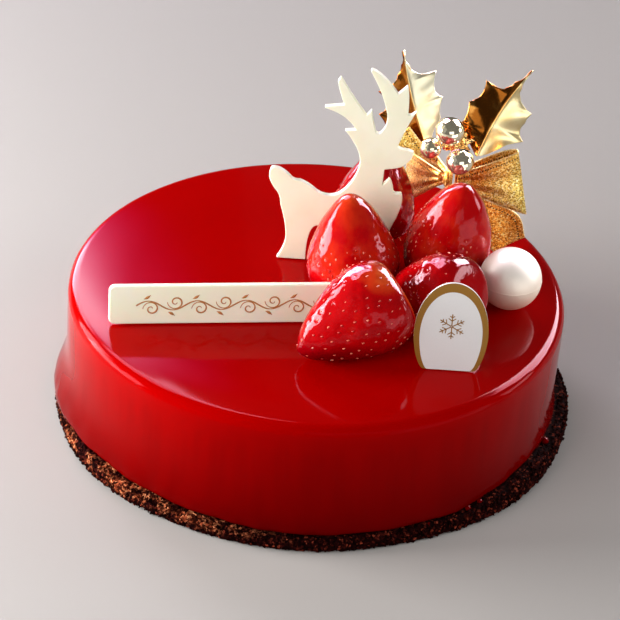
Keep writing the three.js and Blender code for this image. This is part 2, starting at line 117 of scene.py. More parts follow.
def capped_faces(rings, sides):
    """Faces of a closed tube: a band between every two rings, and both ends."""
    last = (rings - 1) * sides
    return [*grid_faces(rings, sides, closed=True), [*range(sides)][::-1], [*range(last, last + sides)]]


def revolve(profile, segments, rule=lambda radius, height, angle: (radius, height)):
    """Points and faces of [radius, height] rings about Z, moved by a rule in radius, height and angle.
    The profile starts at the bottom and ends at the top, both on the axis."""
    inner = np.array(profile[1:-1], float)
    angle = np.arange(segments)[None, :] * 2 * math.pi / segments
    radius, height = rule(*np.broadcast_arrays(inner[:, :1], inner[:, 1:], angle))
    ends = [[0, 0, profile[0][1]], [0, 0, profile[-1][1]]]
    points = np.concatenate((polar(radius, angle, height).reshape(-1, 3), ends))
    faces = grid_faces(len(inner), segments, closed=True)
    bottom, top = len(points) - 2, len(points) - 1
    last = bottom - segments
    for j in range(segments):
        following = (j + 1) % segments
        faces += [(bottom, following, j), (top, last + j, last + following)]
    return points, faces


def half_circle(steps):
    """The profile of a ball of radius 1, from its bottom to its top."""
    return [(math.sin(turn), -math.cos(turn)) for turn in np.linspace(0, math.pi, steps + 1)]


def value_noise(points, size, seed):
    """Smooth noise from -1 to 1, with features of about size, the same each time."""
    scaled = np.asarray(points, float) / size
    cell = np.floor(scaled)
    part = scaled - cell
    part = part * part * (3 - 2 * part)
    total = np.zeros(scaled.shape[:-1])
    for corner in np.ndindex(2, 2, 2):
        share = np.prod(np.where(corner, part, 1 - part), axis=-1)
        value = np.sin((cell + corner) @ np.array([127.1, 311.7, 74.7]) + seed * 53.7) * 43758.5453
        total += share * (value - np.floor(value))
    return 2 * total - 1


def bump_at(angle, centre, width):
    """A bump of height 1 at the angle centre that fades out over width, both in degrees."""
    away = np.angle(np.exp(1j * (angle - math.radians(centre))))
    return np.exp(-((away / math.radians(width)) ** 2))


def smoothstep(value, low, high):
    share = np.clip((value - low) / (high - low), 0, 1)
    return share * share * (3 - 2 * share)


def sheet(middle, thickness):
    """Closed points and faces round a grid of middle points, which has shape rows, columns, 3."""
    rows, columns = middle.shape[:2]
    half = unit(np.cross(np.gradient(middle, axis=0), np.gradient(middle, axis=1))) * thickness / 2
    layer = rows * columns
    quads = grid_faces(rows, columns)
    faces = [face[::-1] for face in quads] + [[k + layer for k in face] for face in quads]
    index = np.arange(layer).reshape(rows, columns)
    edge = np.concatenate((index[:, 0], index[-1, 1:], index[-2::-1, -1], index[0, -2:0:-1])).tolist()
    faces += [(a, b, b + layer, a + layer) for a, b in zip(edge, edge[1:] + edge[:1])]
    return np.concatenate((middle + half, middle - half)).reshape(-1, 3), faces


def tube(path, radii, sides):
    """Closed points and faces of a round tube along a path, with a radius at each point."""
    along = unit(np.gradient(path, axis=0))
    helper = np.where(np.abs(along[:, 2:]) > 0.9, [[1.0, 0, 0]], [[0, 0, 1.0]])
    first = unit(np.cross(along, helper))
    second = np.cross(along, first)
    turn = np.arange(sides)[None, :, None] * 2 * math.pi / sides
    ring = first[:, None] * np.cos(turn) + second[:, None] * np.sin(turn)
    points = path[:, None] + ring * radii[:, None, None]
    return points.reshape(-1, 3), capped_faces(len(path), sides)


def joined(parts):
    """One list of points and faces from several."""
    points, faces, count = [], [], 0
    for part_points, part_faces in parts:
        points.append(part_points)
        faces += [[k + count for k in face] for face in part_faces]
        count += len(part_points)
    return np.concatenate(points), faces


def add_piece(name, points, faces, materials, slot, replaces=(), smooth=True, kinds=None, uv=None,
              shade=None):
    """Makes a piece of the cake from points in millimetres. kinds gives each face's material, uv a pair
    of millimetres along a sheet, and shade a number for each point that materials read."""
    mesh = bpy.data.meshes.new(name)
    mesh.from_pydata((points * MM).tolist(), [], faces)
    mesh.polygons.foreach_set("use_smooth", [smooth] * len(faces))
    for material in materials:
        mesh.materials.append(material)
    if kinds is not None:
        mesh.polygons.foreach_set("material_index", kinds)
    if uv is not None:
        corner = np.zeros(len(mesh.loops), int)
        mesh.loops.foreach_get("vertex_index", corner)
        mesh.uv_layers.new(name="sheet").data.foreach_set("uv", uv[corner].ravel())
    if shade is not None:
        mesh.attributes.new("shade", "FLOAT", "POINT").data.foreach_set("value", shade)
    turn_outward(mesh)
    piece = add_object(name, mesh)
    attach(piece, BODY)
    if replaces:
        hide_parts(*replaces)
    return piece


def turn_outward(mesh):
    """Turns the faces outward, each loose part by itself."""
    work = bmesh.new()
    work.from_mesh(mesh)
    bmesh.ops.recalc_face_normals(work, faces=work.faces)
    work.to_mesh(mesh)
    work.free()


# Material helpers

class Look:
    """A material with a Principled shader, and short calls for the nodes that feed it. In the names of
    inputs, _ stands for a space."""

    def __init__(self, name, **settings):
        self.material = bpy.data.materials.new(name)
        self.material.use_nodes = True
        self.tree = self.material.node_tree
        self.shader = self.tree.nodes["Principled BSDF"]
        self.set(**settings)

    def set(self, **inputs):
        self.feed_all(self.shader, inputs)

    def node(self, kind, **inputs):
        made = self.tree.nodes.new(kind)
        self.feed_all(made, inputs)
        return made

    def feed_all(self, node, inputs):
        for label, value in inputs.items():
            self.feed(node.inputs[label.replace("_", " ")], value)

    def feed(self, socket, value):
        if isinstance(value, bpy.types.NodeSocket):
            self.tree.links.new(value, socket)
        else:
            socket.default_value = (*value, 1) if socket.type == "RGBA" else value

    def place(self, source="Object"):
        return self.node("ShaderNodeTexCoord").outputs[source]

    def axis(self, name, source="Object"):
        """X, Y or Z in metres, or millimetres along or across a sheet for X or Y of UV."""
        return self.node("ShaderNodeSeparateXYZ", Vector=self.place(source)).outputs[name]

    def noise(self, size, detail, vector=None):
        """Noise from 0 to 1 whose features measure about size millimetres."""
        made = self.node("ShaderNodeTexNoise", Scale=1 / (size * MM), Detail=detail)
        self.feed(made.inputs["Vector"], vector or self.place())
        return made.outputs["Fac"]

    def clouds(self, size, detail, low, high, start=0.0, end=1.0):
        return self.span(self.noise(size, detail), low, high, start, end)

    def cells(self, size):
        """Random numbers, Red, Green and Blue, for each cell of about size millimetres."""
        made = self.node("ShaderNodeTexVoronoi", Scale=1 / (size * MM), Vector=self.place())
        return self.node("ShaderNodeSeparateColor", Color=made.outputs["Color"]).outputs

    def ramp(self, value, *stops):
        """A colour looked up from stops of a position and the colour's three parts."""
        made = self.node("ShaderNodeValToRGB", Fac=value)
        elements = made.color_ramp.elements
        while len(elements) < len(stops):
            elements.new(0.5)
        for element, (position, *colour) in zip(elements, stops):
            element.position = position
            element.color = (*colour, 1)
        return made.outputs["Color"]

    def mix(self, share, first, second):
        made = self.tree.nodes.new("ShaderNodeMix")
        made.data_type = "RGBA"
        for socket, value in ((0, share), (6, first), (7, second)):
            self.feed(made.inputs[socket], value)
        return made.outputs[2]

    def math(self, operation, first, second=0.0):
        made = self.tree.nodes.new("ShaderNodeMath")
        made.operation = operation
        self.feed(made.inputs[0], first)
        self.feed(made.inputs[1], second)
        return made.outputs[0]

    def span(self, value, low, high, start=0.0, end=1.0):
        """value brought from low-high to start-end, and kept there."""
        return self.node("ShaderNodeMapRange", Value=value, From_Min=low, From_Max=high, To_Min=start,
                         To_Max=end).outputs["Result"]

    def shade(self, clouds):
        """The points' shade, with clouds added to it."""
        made = self.tree.nodes.new("ShaderNodeAttribute")
        made.attribute_name = "shade"
        return self.math("ADD", made.outputs["Fac"], clouds)

    def bump(self, height, depth):
        """Bump of depth millimetres from a height of 0 to 1."""
        self.set(Normal=self.node("ShaderNodeBump", Height=height, Distance=depth * MM).outputs["Normal"])


def two_tone(name, clouds, first, second, bump=None, **settings):
    """A material of two colours. clouds holds their size and detail and where the colours change over, and
    bump the size, detail and depth of a bump."""
    look = Look(name, **settings)
    look.set(Base_Color=look.mix(look.clouds(*clouds), first, second))
    if bump:
        size, detail, depth = bump
        look.bump(look.noise(size, detail), depth)
    return look.material


def red_glaze():
    """Mirror glaze: deep clear red with a wet skin, faint upright streaks on the wall, and painted shade
    that darkens the wall towards its foot.
    """
    look = Look("red_glaze", Roughness=0.08, IOR=1.16, Specular_Tint=(1, 0.08, 0.15))
    height = look.axis("Z")
    # Painted shade: the red darkens from the top of the wall down to its foot.
    wall = look.ramp(look.span(height, 0, CAKE_TOP * MM), (0.1, 0.1, 0, 0), (0.5, 0.21, 0, 0),
                     (0.85, 0.285, 0, 0), (0.97, 0.34, 0, 0), (1, 0.38, 0, 0))
    cloudy = look.mix(look.clouds(30, 3, 0.3, 0.7, 0, 0.1), wall, (0.3, 0, 0))
    upright = look.node("ShaderNodeMapping", Vector=look.place(), Scale=(1, 1, 0.12))
    streak = look.span(look.noise(5, 2, upright.outputs["Vector"]), 0.4, 0.7, 0, 0.16)
    streak = look.math("MULTIPLY", streak, look.span(height, 0.037, 0.031))
    look.set(Base_Color=look.mix(streak, cloudy, (0.07, 0, 0)))
    look.bump(look.noise(9, 1), 0.012)
    return look.material


def crumb():
    """Nearly black chocolate crumbs, with orange-brown ones painted in at the left and on the upper crumbs
    as painted light.
    """
    look = Look("chocolate_crumb", Roughness=0.7, IOR=1.05, Specular_Tint=(1, 0.4, 0.3))
    value = look.cells(0.7)["Red"]
    # Painted light: crumbs at the left and higher up take the lit orange-brown colours, the rest the dark
    # ones.
    painted_light_left = look.math("MULTIPLY", look.span(look.axis("X"), 0, -0.05), look.clouds(5, 2, 0.44, 0.56))
    painted_light_left = look.math("MULTIPLY", painted_light_left, look.span(look.axis("Z"), 0.001, 0.0026))
    dark = look.ramp(value, (0, 0.003, 0.001, 0.001), (0.7, 0.014, 0.002, 0.002), (0.92, 0.06, 0.008, 0.005),
                     (1, 0.24, 0.04, 0.02))
    light = look.ramp(value, (0, 0.012, 0.002, 0.001), (0.45, 0.06, 0.009, 0.004), (0.72, 0.4, 0.08, 0.03),
                      (1, 0.8, 0.32, 0.14))
    look.set(Base_Color=look.mix(painted_light_left, dark, light))
    look.bump(look.noise(0.25, 3), 0.12)
    return look.material


def berry_flesh():
    """Strawberry under a clear glaze: shade runs from 0, deep crimson, over red to 1, pale orange; painted
    shade darkens its bottom.
    """
    look = Look("strawberry_flesh", Roughness=0.08, IOR=1.34, Specular_Tint=(1, 0.5, 0.58))
    shade = look.shade(look.clouds(6, 3, 0.35, 0.65, -0.06, 0.04))
    look.set(Base_Color=look.ramp(
        shade, (0, 0.08, 0, 0.001), (0.3, 0.24, 0, 0.002), (0.55, 0.42, 0.001, 0.002),
        (0.8, 0.65, 0.045, 0.008), (1, 0.85, 0.2, 0.04)))
    knobs = look.span(look.shade(0.0), 0.46, 0.26, 0.25, 1)
    look.bump(look.math("MULTIPLY", look.noise(1.3, 2), knobs), 0.16)
    return look.material


def pearl():
    """Pearly white, painted warmer towards its bottom as a painted reflection of the red glaze."""
    look = Look("pearl", Roughness=0.48, IOR=1.5, Metallic=0.3)
    pale = look.mix(look.noise(5, 2), (0.96, 0.89, 0.79), (0.99, 0.93, 0.84))
    # Painted reflection: the lower half is tinted warm by height.
    look.set(Base_Color=look.mix(look.span(look.axis("Z"), 0.057, 0.045), pale, (0.95, 0.72, 0.53)))
    look.bump(look.noise(0.6, 2), 0.01)
    return look.material


def leaf_foil():
    """Thin bright foil: shade runs from 0, dark amber, over 0.6, gold, to 1, pale gold, painting the halves
    of a leaf as shaded or lit.
    """
    look = Look("leaf_foil", Metallic=1)
    look.set(Roughness=look.span(look.shade(0.0), 0, 1, 0.14, 0.34))
    shade = look.shade(look.clouds(5, 3, 0.35, 0.65, -0.12, 0.1))
    look.set(Base_Color=look.ramp(
        shade, (0, 0.26, 0.08, 0.01), (0.12, 0.6, 0.27, 0.06), (0.6, 0.86, 0.66, 0.3),
        (0.85, 0.97, 0.86, 0.52), (1, 1, 0.94, 0.68)))
    look.bump(look.noise(4, 3), 0.05)
    return look.material


def glitter_ribbon():
    """Woven metallic ribbon with a row of small holes. Its shade attribute is painted shade, from 0, pale
    gold, to 1, shaded red-brown.
    """
    hole_step, hole_inset = 0.85, 1.7
    look = Look("glitter_ribbon", Metallic=0.85, Roughness=0.38)
    thread = look.cells(0.34)
    pale = look.ramp(thread["Red"], (0, 0.28, 0.13, 0.012), (0.4, 0.76, 0.48, 0.08), (0.8, 1, 0.82, 0.24),
                     (1, 1, 0.96, 0.58))
    # The red-brown colours are the gold in painted shade.
    painted_shade = look.ramp(thread["Red"], (0, 0.34, 0.06, 0.003), (0.5, 0.84, 0.24, 0.016), (0.85, 1, 0.5, 0.07),
                     (1, 1, 0.84, 0.34))
    shade = look.shade(look.clouds(7, 2, 0.35, 0.65, -0.2, 0.2))
    spark = look.mix(look.span(shade, 0, 1), pale, painted_shade)
    step = look.math("FRACT", look.math("DIVIDE", look.axis("X", "UV"), hole_step))
    beside = look.math("ABSOLUTE", look.math("SUBTRACT", step, 0.5))
    below = look.math("ABSOLUTE", look.math("SUBTRACT", look.axis("Y", "UV"), hole_inset))
    hole = look.math("MULTIPLY", look.math("LESS_THAN", beside, 0.26), look.math("LESS_THAN", below, 0.22))
    look.set(Base_Color=look.mix(hole, spark, (0.05, 0.02, 0.008)))
    look.bump(thread["Green"], 0.2)
    return look.material


def white_chocolate(name, first, second):
    return two_tone(name, (12, 3, 0.35, 0.65), first, second, (3.5, 3, 0.04), Roughness=0.42, IOR=1.42,
                    Subsurface_Weight=0.15, Subsurface_Radius=(1.0, 0.6, 0.3), Subsurface_Scale=0.002)


GLAZE = red_glaze()
CRUMB = crumb()
FLESH = berry_flesh()
SEED = two_tone(
    "strawberry_seed", (5, 2, 0.4, 0.6), (0.45, 0.02, 0.015), (0.78, 0.2, 0.12), Roughness=0.12, IOR=1.42)
WHITE_CHOCOLATE = white_chocolate("white_chocolate", (0.85, 0.87, 0.66), (0.9, 0.93, 0.73))
# Painted light: the bar's copy of the white chocolate is painted brighter and yellower than the reindeer's.
PAINTED_LIGHT_BAR_CHOCOLATE = white_chocolate("bar_chocolate_painted_light", (0.9, 0.97, 0.74), (0.93, 0.98, 0.79))
BROWN_INK = two_tone("brown_ink", (1.2, 2, 0, 1), (0.36, 0.14, 0.03), (0.58, 0.26, 0.07), Roughness=0.45)
CARD_WHITE = two_tone(
    "card_white", (0.5, 3, 0, 1), (0.72, 0.71, 0.7), (0.76, 0.75, 0.74), (0.3, 2, 0.01), Roughness=0.55)
CARD_GOLD = two_tone(
    "card_gold", (4, 3, 0, 1), (0.29, 0.13, 0.012), (0.35, 0.17, 0.02), Roughness=0.4, Metallic=0.35)
PEARL = pearl()
POLISHED_GOLD = two_tone(
    "polished_gold", (3, 2, 0, 1), (0.95, 0.85, 0.6), (0.98, 0.9, 0.68), (2, 2, 0.02), Roughness=0.1,
    Metallic=0.92)
GOLD_FOIL = two_tone(
    "gold_foil", (5, 3, 0.3, 0.7), (0.85, 0.52, 0.16), (0.95, 0.72, 0.34), (2.5, 3, 0.05), Roughness=0.14,
    Metallic=1)
LEAF_FOIL = leaf_foil()
RIBBON = glitter_ribbon()
RIBBON_EDGE = two_tone(
    "ribbon_edge", (0.6, 1, 0.3, 0.7), (0.6, 0.36, 0.1), (0.92, 0.7, 0.32), Roughness=0.35, Metallic=0.7)


# Crumb base

def crumb_height(angle):
    """How high the crumbs are heaped at an angle, as in the solid."""
    heaps = 1.7 * bump_at(angle, -138, 24) + 3.2 * bump_at(angle, -24, 26)
    return BASE_THICKNESS - 0.4 + heaps + 0.25 * np.sin(9 * angle) + 0.15 * np.sin(23 * angle + 1)


def rim_share(radius):
    return smoothstep(radius, CRUMB_REACH - 6, CRUMB_REACH)


def rim_sway(angle):
    return 0.5 * np.sin(3 * angle + 2) + 0.35 * np.sin(7 * angle)


def crumb_base():
    outer = [(BASE_RADIUS - 0.8, 0), (BASE_RADIUS - 0.2, 0.3)]
    outer += [(BASE_RADIUS, height) for height in np.arange(0.6, 3.0, 0.3)]
    ledge = [(radius, BASE_THICKNESS) for radius in np.arange(BASE_RADIUS - 1, CRUMB_REACH, -0.5)]
    profile = [(0, 0), (60, 0), (76, 0), *outer, (BASE_RADIUS - 0.5, 3.3), *ledge]
    profile += [(CRUMB_REACH - 6, BASE_THICKNESS), (0, BASE_THICKNESS)]

    def rule(radius, height, angle):
        upper = height / BASE_THICKNESS * rim_share(radius)
        raised = height + upper * (crumb_height(angle) - BASE_THICKNESS)
        rim = smoothstep(radius, CRUMB_REACH + 2, BASE_RADIUS - 1)
        place = polar(radius, angle, raised)
        grain = 0.5 * value_noise(place, 1.3, 1) + 0.25 * value_noise(place, 0.6, 2)
        lift = rim * np.where(height > 0.2, 0.35 * value_noise(place, 0.9, 3), 0)
        return radius + rim * (rim_sway(angle) - 0.4 + grain), np.maximum(raised + lift, 0)

    points, faces = revolve(profile, 900, rule)
    add_piece("crumb_base", points, faces, [CRUMB], "chocolate_crumb", ["chocolate_base"])


def twenty_sided():
    """The corners and faces of a solid with twenty triangles."""
    golden = (1 + math.sqrt(5)) / 2
    reach = math.hypot(1, golden)
    corners = []
    for first in (-1, 1):
        for second in (-golden, golden):
            corners += [(0, first, second), (first, second, 0), (second, 0, first)]
    corners = np.array(corners) / reach
    close = np.linalg.norm(corners[:, None] - corners, axis=-1) < 2 / reach + 1e-6
    threes = combinations(range(12), 3)
    faces = [(a, b, c) for a, b, c in threes if close[a, b] and close[b, c] and close[a, c]]
    return corners, faces


def loose_crumbs():
    """Crumbs that stand out of the base's side and ledge, thickest where they are heaped."""
    random = np.random.default_rng(24)
    count = 7600
    angle = random.uniform(0, 2 * math.pi, count)
    size = np.clip(random.lognormal(-1.15, 0.45, count), 0.12, 0.75)
    top = crumb_height(angle)
    on_side = random.uniform(size=count) < 0.6
    side_height = random.uniform(0.05, 1, count) * (top - 0.2)
    ledge_radius = BASE_RADIUS - random.uniform(0.6, 3.6, count)
    radius = np.where(on_side, BASE_RADIUS - 0.5, ledge_radius) + rim_sway(angle)
    height = np.where(on_side, side_height, top + 0.1 * random.normal(size=count))
    centre = polar(radius, angle, np.maximum(height, size * 0.9 + 0.02))
    corners, faces = twenty_sided()
    shape = corners * random.uniform(0.6, 1.25, (count, 12, 1)) * random.uniform(0.6, 1.2, (count, 1, 3))
    turns = [Quaternion(parts).normalized().to_matrix() for parts in random.normal(size=(count, 4))]
    points = np.einsum("nij,nkj->nki", np.array(turns), shape) * size[:, None, None] + centre[:, None]
    points[..., 2] = np.maximum(points[..., 2], 0.01)
    all_faces = np.array(faces) + 12 * np.arange(count)[:, None, None]
    add_piece("loose_crumbs", points.reshape(-1, 3), all_faces.reshape(-1, 3).tolist(), [CRUMB],
              "chocolate_crumb", smooth=False)


# Glazed cake

def foot_flare(height, angle):
    reach = 0.9 + 2.9 * bump_at(angle, 180, 42) + 0.5 * bump_at(angle, -100, 30)
    return reach * np.exp(-(((height - BASE_THICKNESS) / 8) ** 2))


def side_taper(height, angle):
    return 1.3 * bump_at(angle, -5, 40) * (1 - height / CAKE_TOP)


def glazed_cake():
    underside = BASE_THICKNESS + GAP + 0.15
    centre_radius = CAKE_RADIUS - SHOULDER_RADIUS
    centre_height = CAKE_TOP - CROWN_DROP - SHOULDER_RADIUS
    profile = [(0, underside), (CRUMB_REACH - 6, underside), (CRUMB_REACH, underside)]
    profile += [(CAKE_RADIUS - 1.2, underside), (CAKE_RADIUS - 0.5, underside + 0.1)]
    profile += [(CAKE_RADIUS - 0.1, underside + 0.5)]
    profile += [(CAKE_RADIUS, height) for height in np.linspace(underside + 1, centre_height, 44)]
    for turn in np.radians(np.linspace(5, 85, 17)):
        profile.append((centre_radius + SHOULDER_RADIUS * math.cos(turn),
                        centre_height + SHOULDER_RADIUS * math.sin(turn)))
    crown_edge, edge_height = profile[-1]
    for radius in np.linspace(crown_edge - 0.4, CROWN_START - 1, 44):
        share = max(radius - CROWN_START, 0) / (crown_edge - CROWN_START)
        profile.append((radius, CAKE_TOP - (CAKE_TOP - edge_height) * share ** CROWN_POWER))
    profile += [(radius, CAKE_TOP) for radius in (45, 35, 25, 15, 5, 0)]

    def rule(radius, height, angle):
        at_side = smoothstep(radius, CRUMB_REACH, CRUMB_REACH + 2) * (height < centre_height + 2)
        near_foot = np.exp(-(((height - underside) / 5) ** 2)) * rim_share(radius)
        place = polar(radius, angle, height)
        sag = 0.12 * value_noise(place, 16, 5) + 0.05 * value_noise(place * [1, 1, 0.2], 6, 8)
        sag = sag + near_foot * 0.3 * value_noise(place, 4, 6)
        moved = at_side * (foot_flare(height, angle) - side_taper(height, angle) + sag)
        return radius + moved, height + near_foot * (crumb_height(angle) - BASE_THICKNESS)

    points, faces = revolve(profile, 720, rule)
    add_piece("cake_glaze", points, faces, [GLAZE], "red_glaze", ["glazed_cake"])


def ball_mesh(centre, radii, segments, rings):
    """Points and faces of a ball or egg."""
    points, faces = revolve(half_circle(rings), segments)
    return points * radii + centre, faces


def glaze_drops():
    """Drops of glaze at the foot, as azimuth in degrees, height, radius and how far they stand out."""
    drops = [(-22.8, 5.4, 1.5, 0.2), (-19.2, 7, 1.3, 0.6), (-20.6, 3.4, 0.8, 1.6), (-25.6, 4.4, 1.0, 0.4),
             (-16.4, 5.6, 0.9, 0.6), (-47, 5.2, 0.9, 0.1), (-61, 3.9, 0.7, 0.4), (-50.5, 4.6, 1.1, -0.1),
             (58, 4.6, 0.9, 0.3), (104, 4.4, 0.8, 0.5), (150, 4.3, 1.0, 0.4)]
    parts = []
    for azimuth, height, size, proud in drops:
        turn = math.radians(azimuth)
        radius = CAKE_RADIUS + foot_flare(height, turn) - side_taper(height, turn) + proud
        parts.append(ball_mesh(polar(radius, turn, height), (size, size, size * 0.85), 24, 16))
    add_piece("glaze_drops", *joined(parts), [GLAZE], "red_glaze")


# Strawberries

BERRY_SHOULDER = 0.28
STALK_END = 0.62
PIT_DEPTH = 0.16
PIT_WIDTH = 0.85
SEED_SIZE = (0.26, 0.46, 0.2)
SEED_SINK = 0.2

# Name, place on the glaze, how far up and round the tip points, size, how it narrows past the shoulder,
# where it is paler, the share of its length up to which the seeds show through its glaze, how bright a red
# its upper half is above the painted shade that darkens its bottom, how high its small lumps are and how far
# apart its seeds are
BERRY_FIELDS = "name place up turn length width taper blush seeded red knobby spacing".split()
STRAWBERRIES = [dict(zip(BERRY_FIELDS, row)) for row in (
    ("strawberry_front", (12.4, -35), -25, 206, 34.4, 27.7, (1.6, 0.84, 0.22), "stalk", 1, 0.52, 0.06, 3.7),
    ("strawberry_left", (9.5, -1.2), 83, 135, 31, 28.1, (1.6, 0.87, 0.27), "tip", 0.62, 0.6, 0.05, 2.9),
    ("strawberry_right", (38.7, 7), 77, -42, 34.4, 26.2, (1.8, 0.78, 0.2), "none", 0.66, 0.58, 0.05, 2.9),
    ("strawberry_low", (35.2, -19.3), -25, 145, 31.3, 24.5, (1.7, 0.85, 0.25), "none", 0.8, 0.42, 0.2, 3.0),
    ("strawberry_back", (16.1, 30.7), 70, 67, 27.6, 25.3, (1.7, 0.85, 0.2), "none", 0.5, 0.42, 0.1, 3.2),
)]


def berry_width(berry, share):
    """The share of the full width that the berry has at a share of its length."""
    late, steep, blunt = berry["taper"]
    rise = np.clip((BERRY_SHOULDER - share) / BERRY_SHOULDER, 0, 1)
    fall = np.clip((share - BERRY_SHOULDER) / (1 - BERRY_SHOULDER), 0, 1)
    near_stalk = STALK_END + (1 - STALK_END) * np.sqrt(1 - rise ** 2)
    near_tip = np.maximum(1 - fall ** late, 0) ** (steep - blunt * fall ** 2)
    return np.where(share < BERRY_SHOULDER, near_stalk, near_tip)


def berry_surface(berry, number, share, angle):
    """A point on the smooth berry, whose tip points along +Z."""
    radius = berry_width(berry, share) * berry["width"] / 2
    radius = radius * (1 + 0.018 * np.sin(3 * angle + number) + 0.012 * np.sin(5 * angle + 2 * number))
    return polar(radius, angle, (share - 0.4) * berry["length"])


def seed_places(berry, number):
    """Shares and angles of the seeds, laid out in a spiral that covers the berry evenly."""
    shares = np.linspace(0.03, 0.985, 400)
    girth = berry_width(berry, shares)
    covered = np.cumsum(girth) / np.sum(girth)
    area = math.pi * berry["width"] * berry["length"] * float(np.mean(girth))
    count = int(area / (berry["spacing"] ** 2 * 0.87))
    order = (np.arange(count) + 0.5) / count
    golden_turn = math.pi * (3 - math.sqrt(5))
    random = np.random.default_rng(100 + number)
    share = np.interp(order, covered, shares) + random.normal(0, 0.006, count)
    angle = np.arange(count) * golden_turn + random.normal(0, 0.05, count)
    return np.clip(share, 0.02, 0.985), angle


def strawberry(berry, number):
    def surface(share, angle):
        return berry_surface(berry, number, share, angle)

    share, angle = seed_places(berry, number)
    at = surface(share, angle)
    along = unit(surface(share + 0.01, angle) - surface(share - 0.01, angle))
    around = unit(surface(share, angle + 0.02) - surface(share, angle - 0.02))
    outward = np.cross(around, along)
    tree = KDTree(len(at))
    for index, point in enumerate(at):
        tree.insert(point, index)
    tree.balance()

    length, seeded = berry["length"], berry["seeded"]
    near_tip = 1 - 0.06 * np.cos(np.linspace(0.1, math.pi / 2 - 0.03, 22))
    ring_shares = [*np.linspace(0.001, 0.08, 12), *np.linspace(0.09, 0.94, 92), *near_tip]
    profile = [(0, -0.39 * length), (0.25, 0), (0.45, 0), *[(1, s) for s in ring_shares]]
    profile.append((0, 0.6 * length - 0.1))

    def rule(radius, height, turn):
        on_wall = radius > 0.99
        wall = surface(np.where(on_wall, height, 0), turn)
        sunk = np.where(on_wall, wall[..., 2], -0.4 * length + 0.35 * (1 - radius))
        place = np.concatenate((wall[..., :2] * radius[..., None], sunk[..., None]), -1)
        lumps = 0.3 * value_noise(place, 7, number) + berry["knobby"] * value_noise(place, 2.6, number + 9)
        deep = 1 - 0.75 * smoothstep(height, seeded - 0.15, seeded + 0.1)
        away = np.array([tree.find(point)[2] for point in place.reshape(-1, 3)]).reshape(radius.shape)
        pits = PIT_DEPTH * np.exp(-((away / PIT_WIDTH) ** 2)) * deep
        across = np.hypot(place[..., 0], place[..., 1])
        moved = across + np.where(on_wall, lumps * np.minimum(across / 3, 1) - pits, 0)
        return np.maximum(moved, 0.02), sunk

    points, faces = revolve(profile, 132, rule)
    blush = berry_blush(points, berry)
    seed, seed_faces = ball_mesh((0, 0, 0), SEED_SIZE, 8, 6)
    seeds = []
    for k in np.flatnonzero(share < seeded):
        basis = np.stack((around[k], along[k], outward[k]))
        seeds.append((seed @ basis + at[k] - outward[k] * SEED_SINK, seed_faces))
    body_faces = len(faces)
    points, faces = joined([(points, faces)] + seeds)
    points = points @ berry_turn(berry).T + [*berry["place"], 0]
    points[:, 2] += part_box(berry["name"])[0].z / MM - points[:, 2].min()
    # Painted shade: the red darkens towards the bottom of the berry.
    lit = 0.1 + (berry["red"] - 0.1) * smoothstep(points[:, 2] - CAKE_TOP, 0, 13)
    shade = lit + np.pad(blush, (0, len(points) - len(blush))) * (1 - lit)
    kinds = [0] * body_faces + [1] * (len(faces) - body_faces)
    add_piece("glazed_" + berry["name"], points, faces, [FLESH, SEED], "strawberry", [berry["name"]],
              kinds=kinds, shade=shade)


def berry_turn(berry):
    """The rotation that takes +Z to the berry's tip direction by the shortest way."""
    up, turn = math.radians(berry["up"]), math.radians(berry["turn"])
    return turn_to((math.cos(up) * math.cos(turn), math.cos(up) * math.sin(turn), math.sin(up)))


def turn_to(direction):
    """The rotation that takes +Z to a direction by the shortest way."""
    return np.array(Vector((0, 0, 1)).rotation_difference(Vector(direction)).to_matrix())


def berry_blush(points, berry):
    """How pale and orange the berry is at each point, from 0 to 1."""
    length, width = berry["length"], berry["width"]
    if berry["blush"] == "tip":
        return 0.42 * smoothstep(points[:, 2], 0.44 * length, 0.6 * length)
    if berry["blush"] == "stalk":
        upward = berry_turn(berry).T @ [0.5, 0, 1]
        upward[2] = 0
        spot = unit(upward) * width * 0.42 - [0, 0, 0.3 * length]
        away = np.linalg.norm(points - spot, axis=1)
        pale_end = smoothstep(-points[:, 2], 0.36 * length, 0.4 * length) * 0.8
        return np.maximum(pale_end, 0.72 * (1 - smoothstep(away, 1, 8.5)))
    return np.zeros(len(points))


# White chocolate reindeer and bar

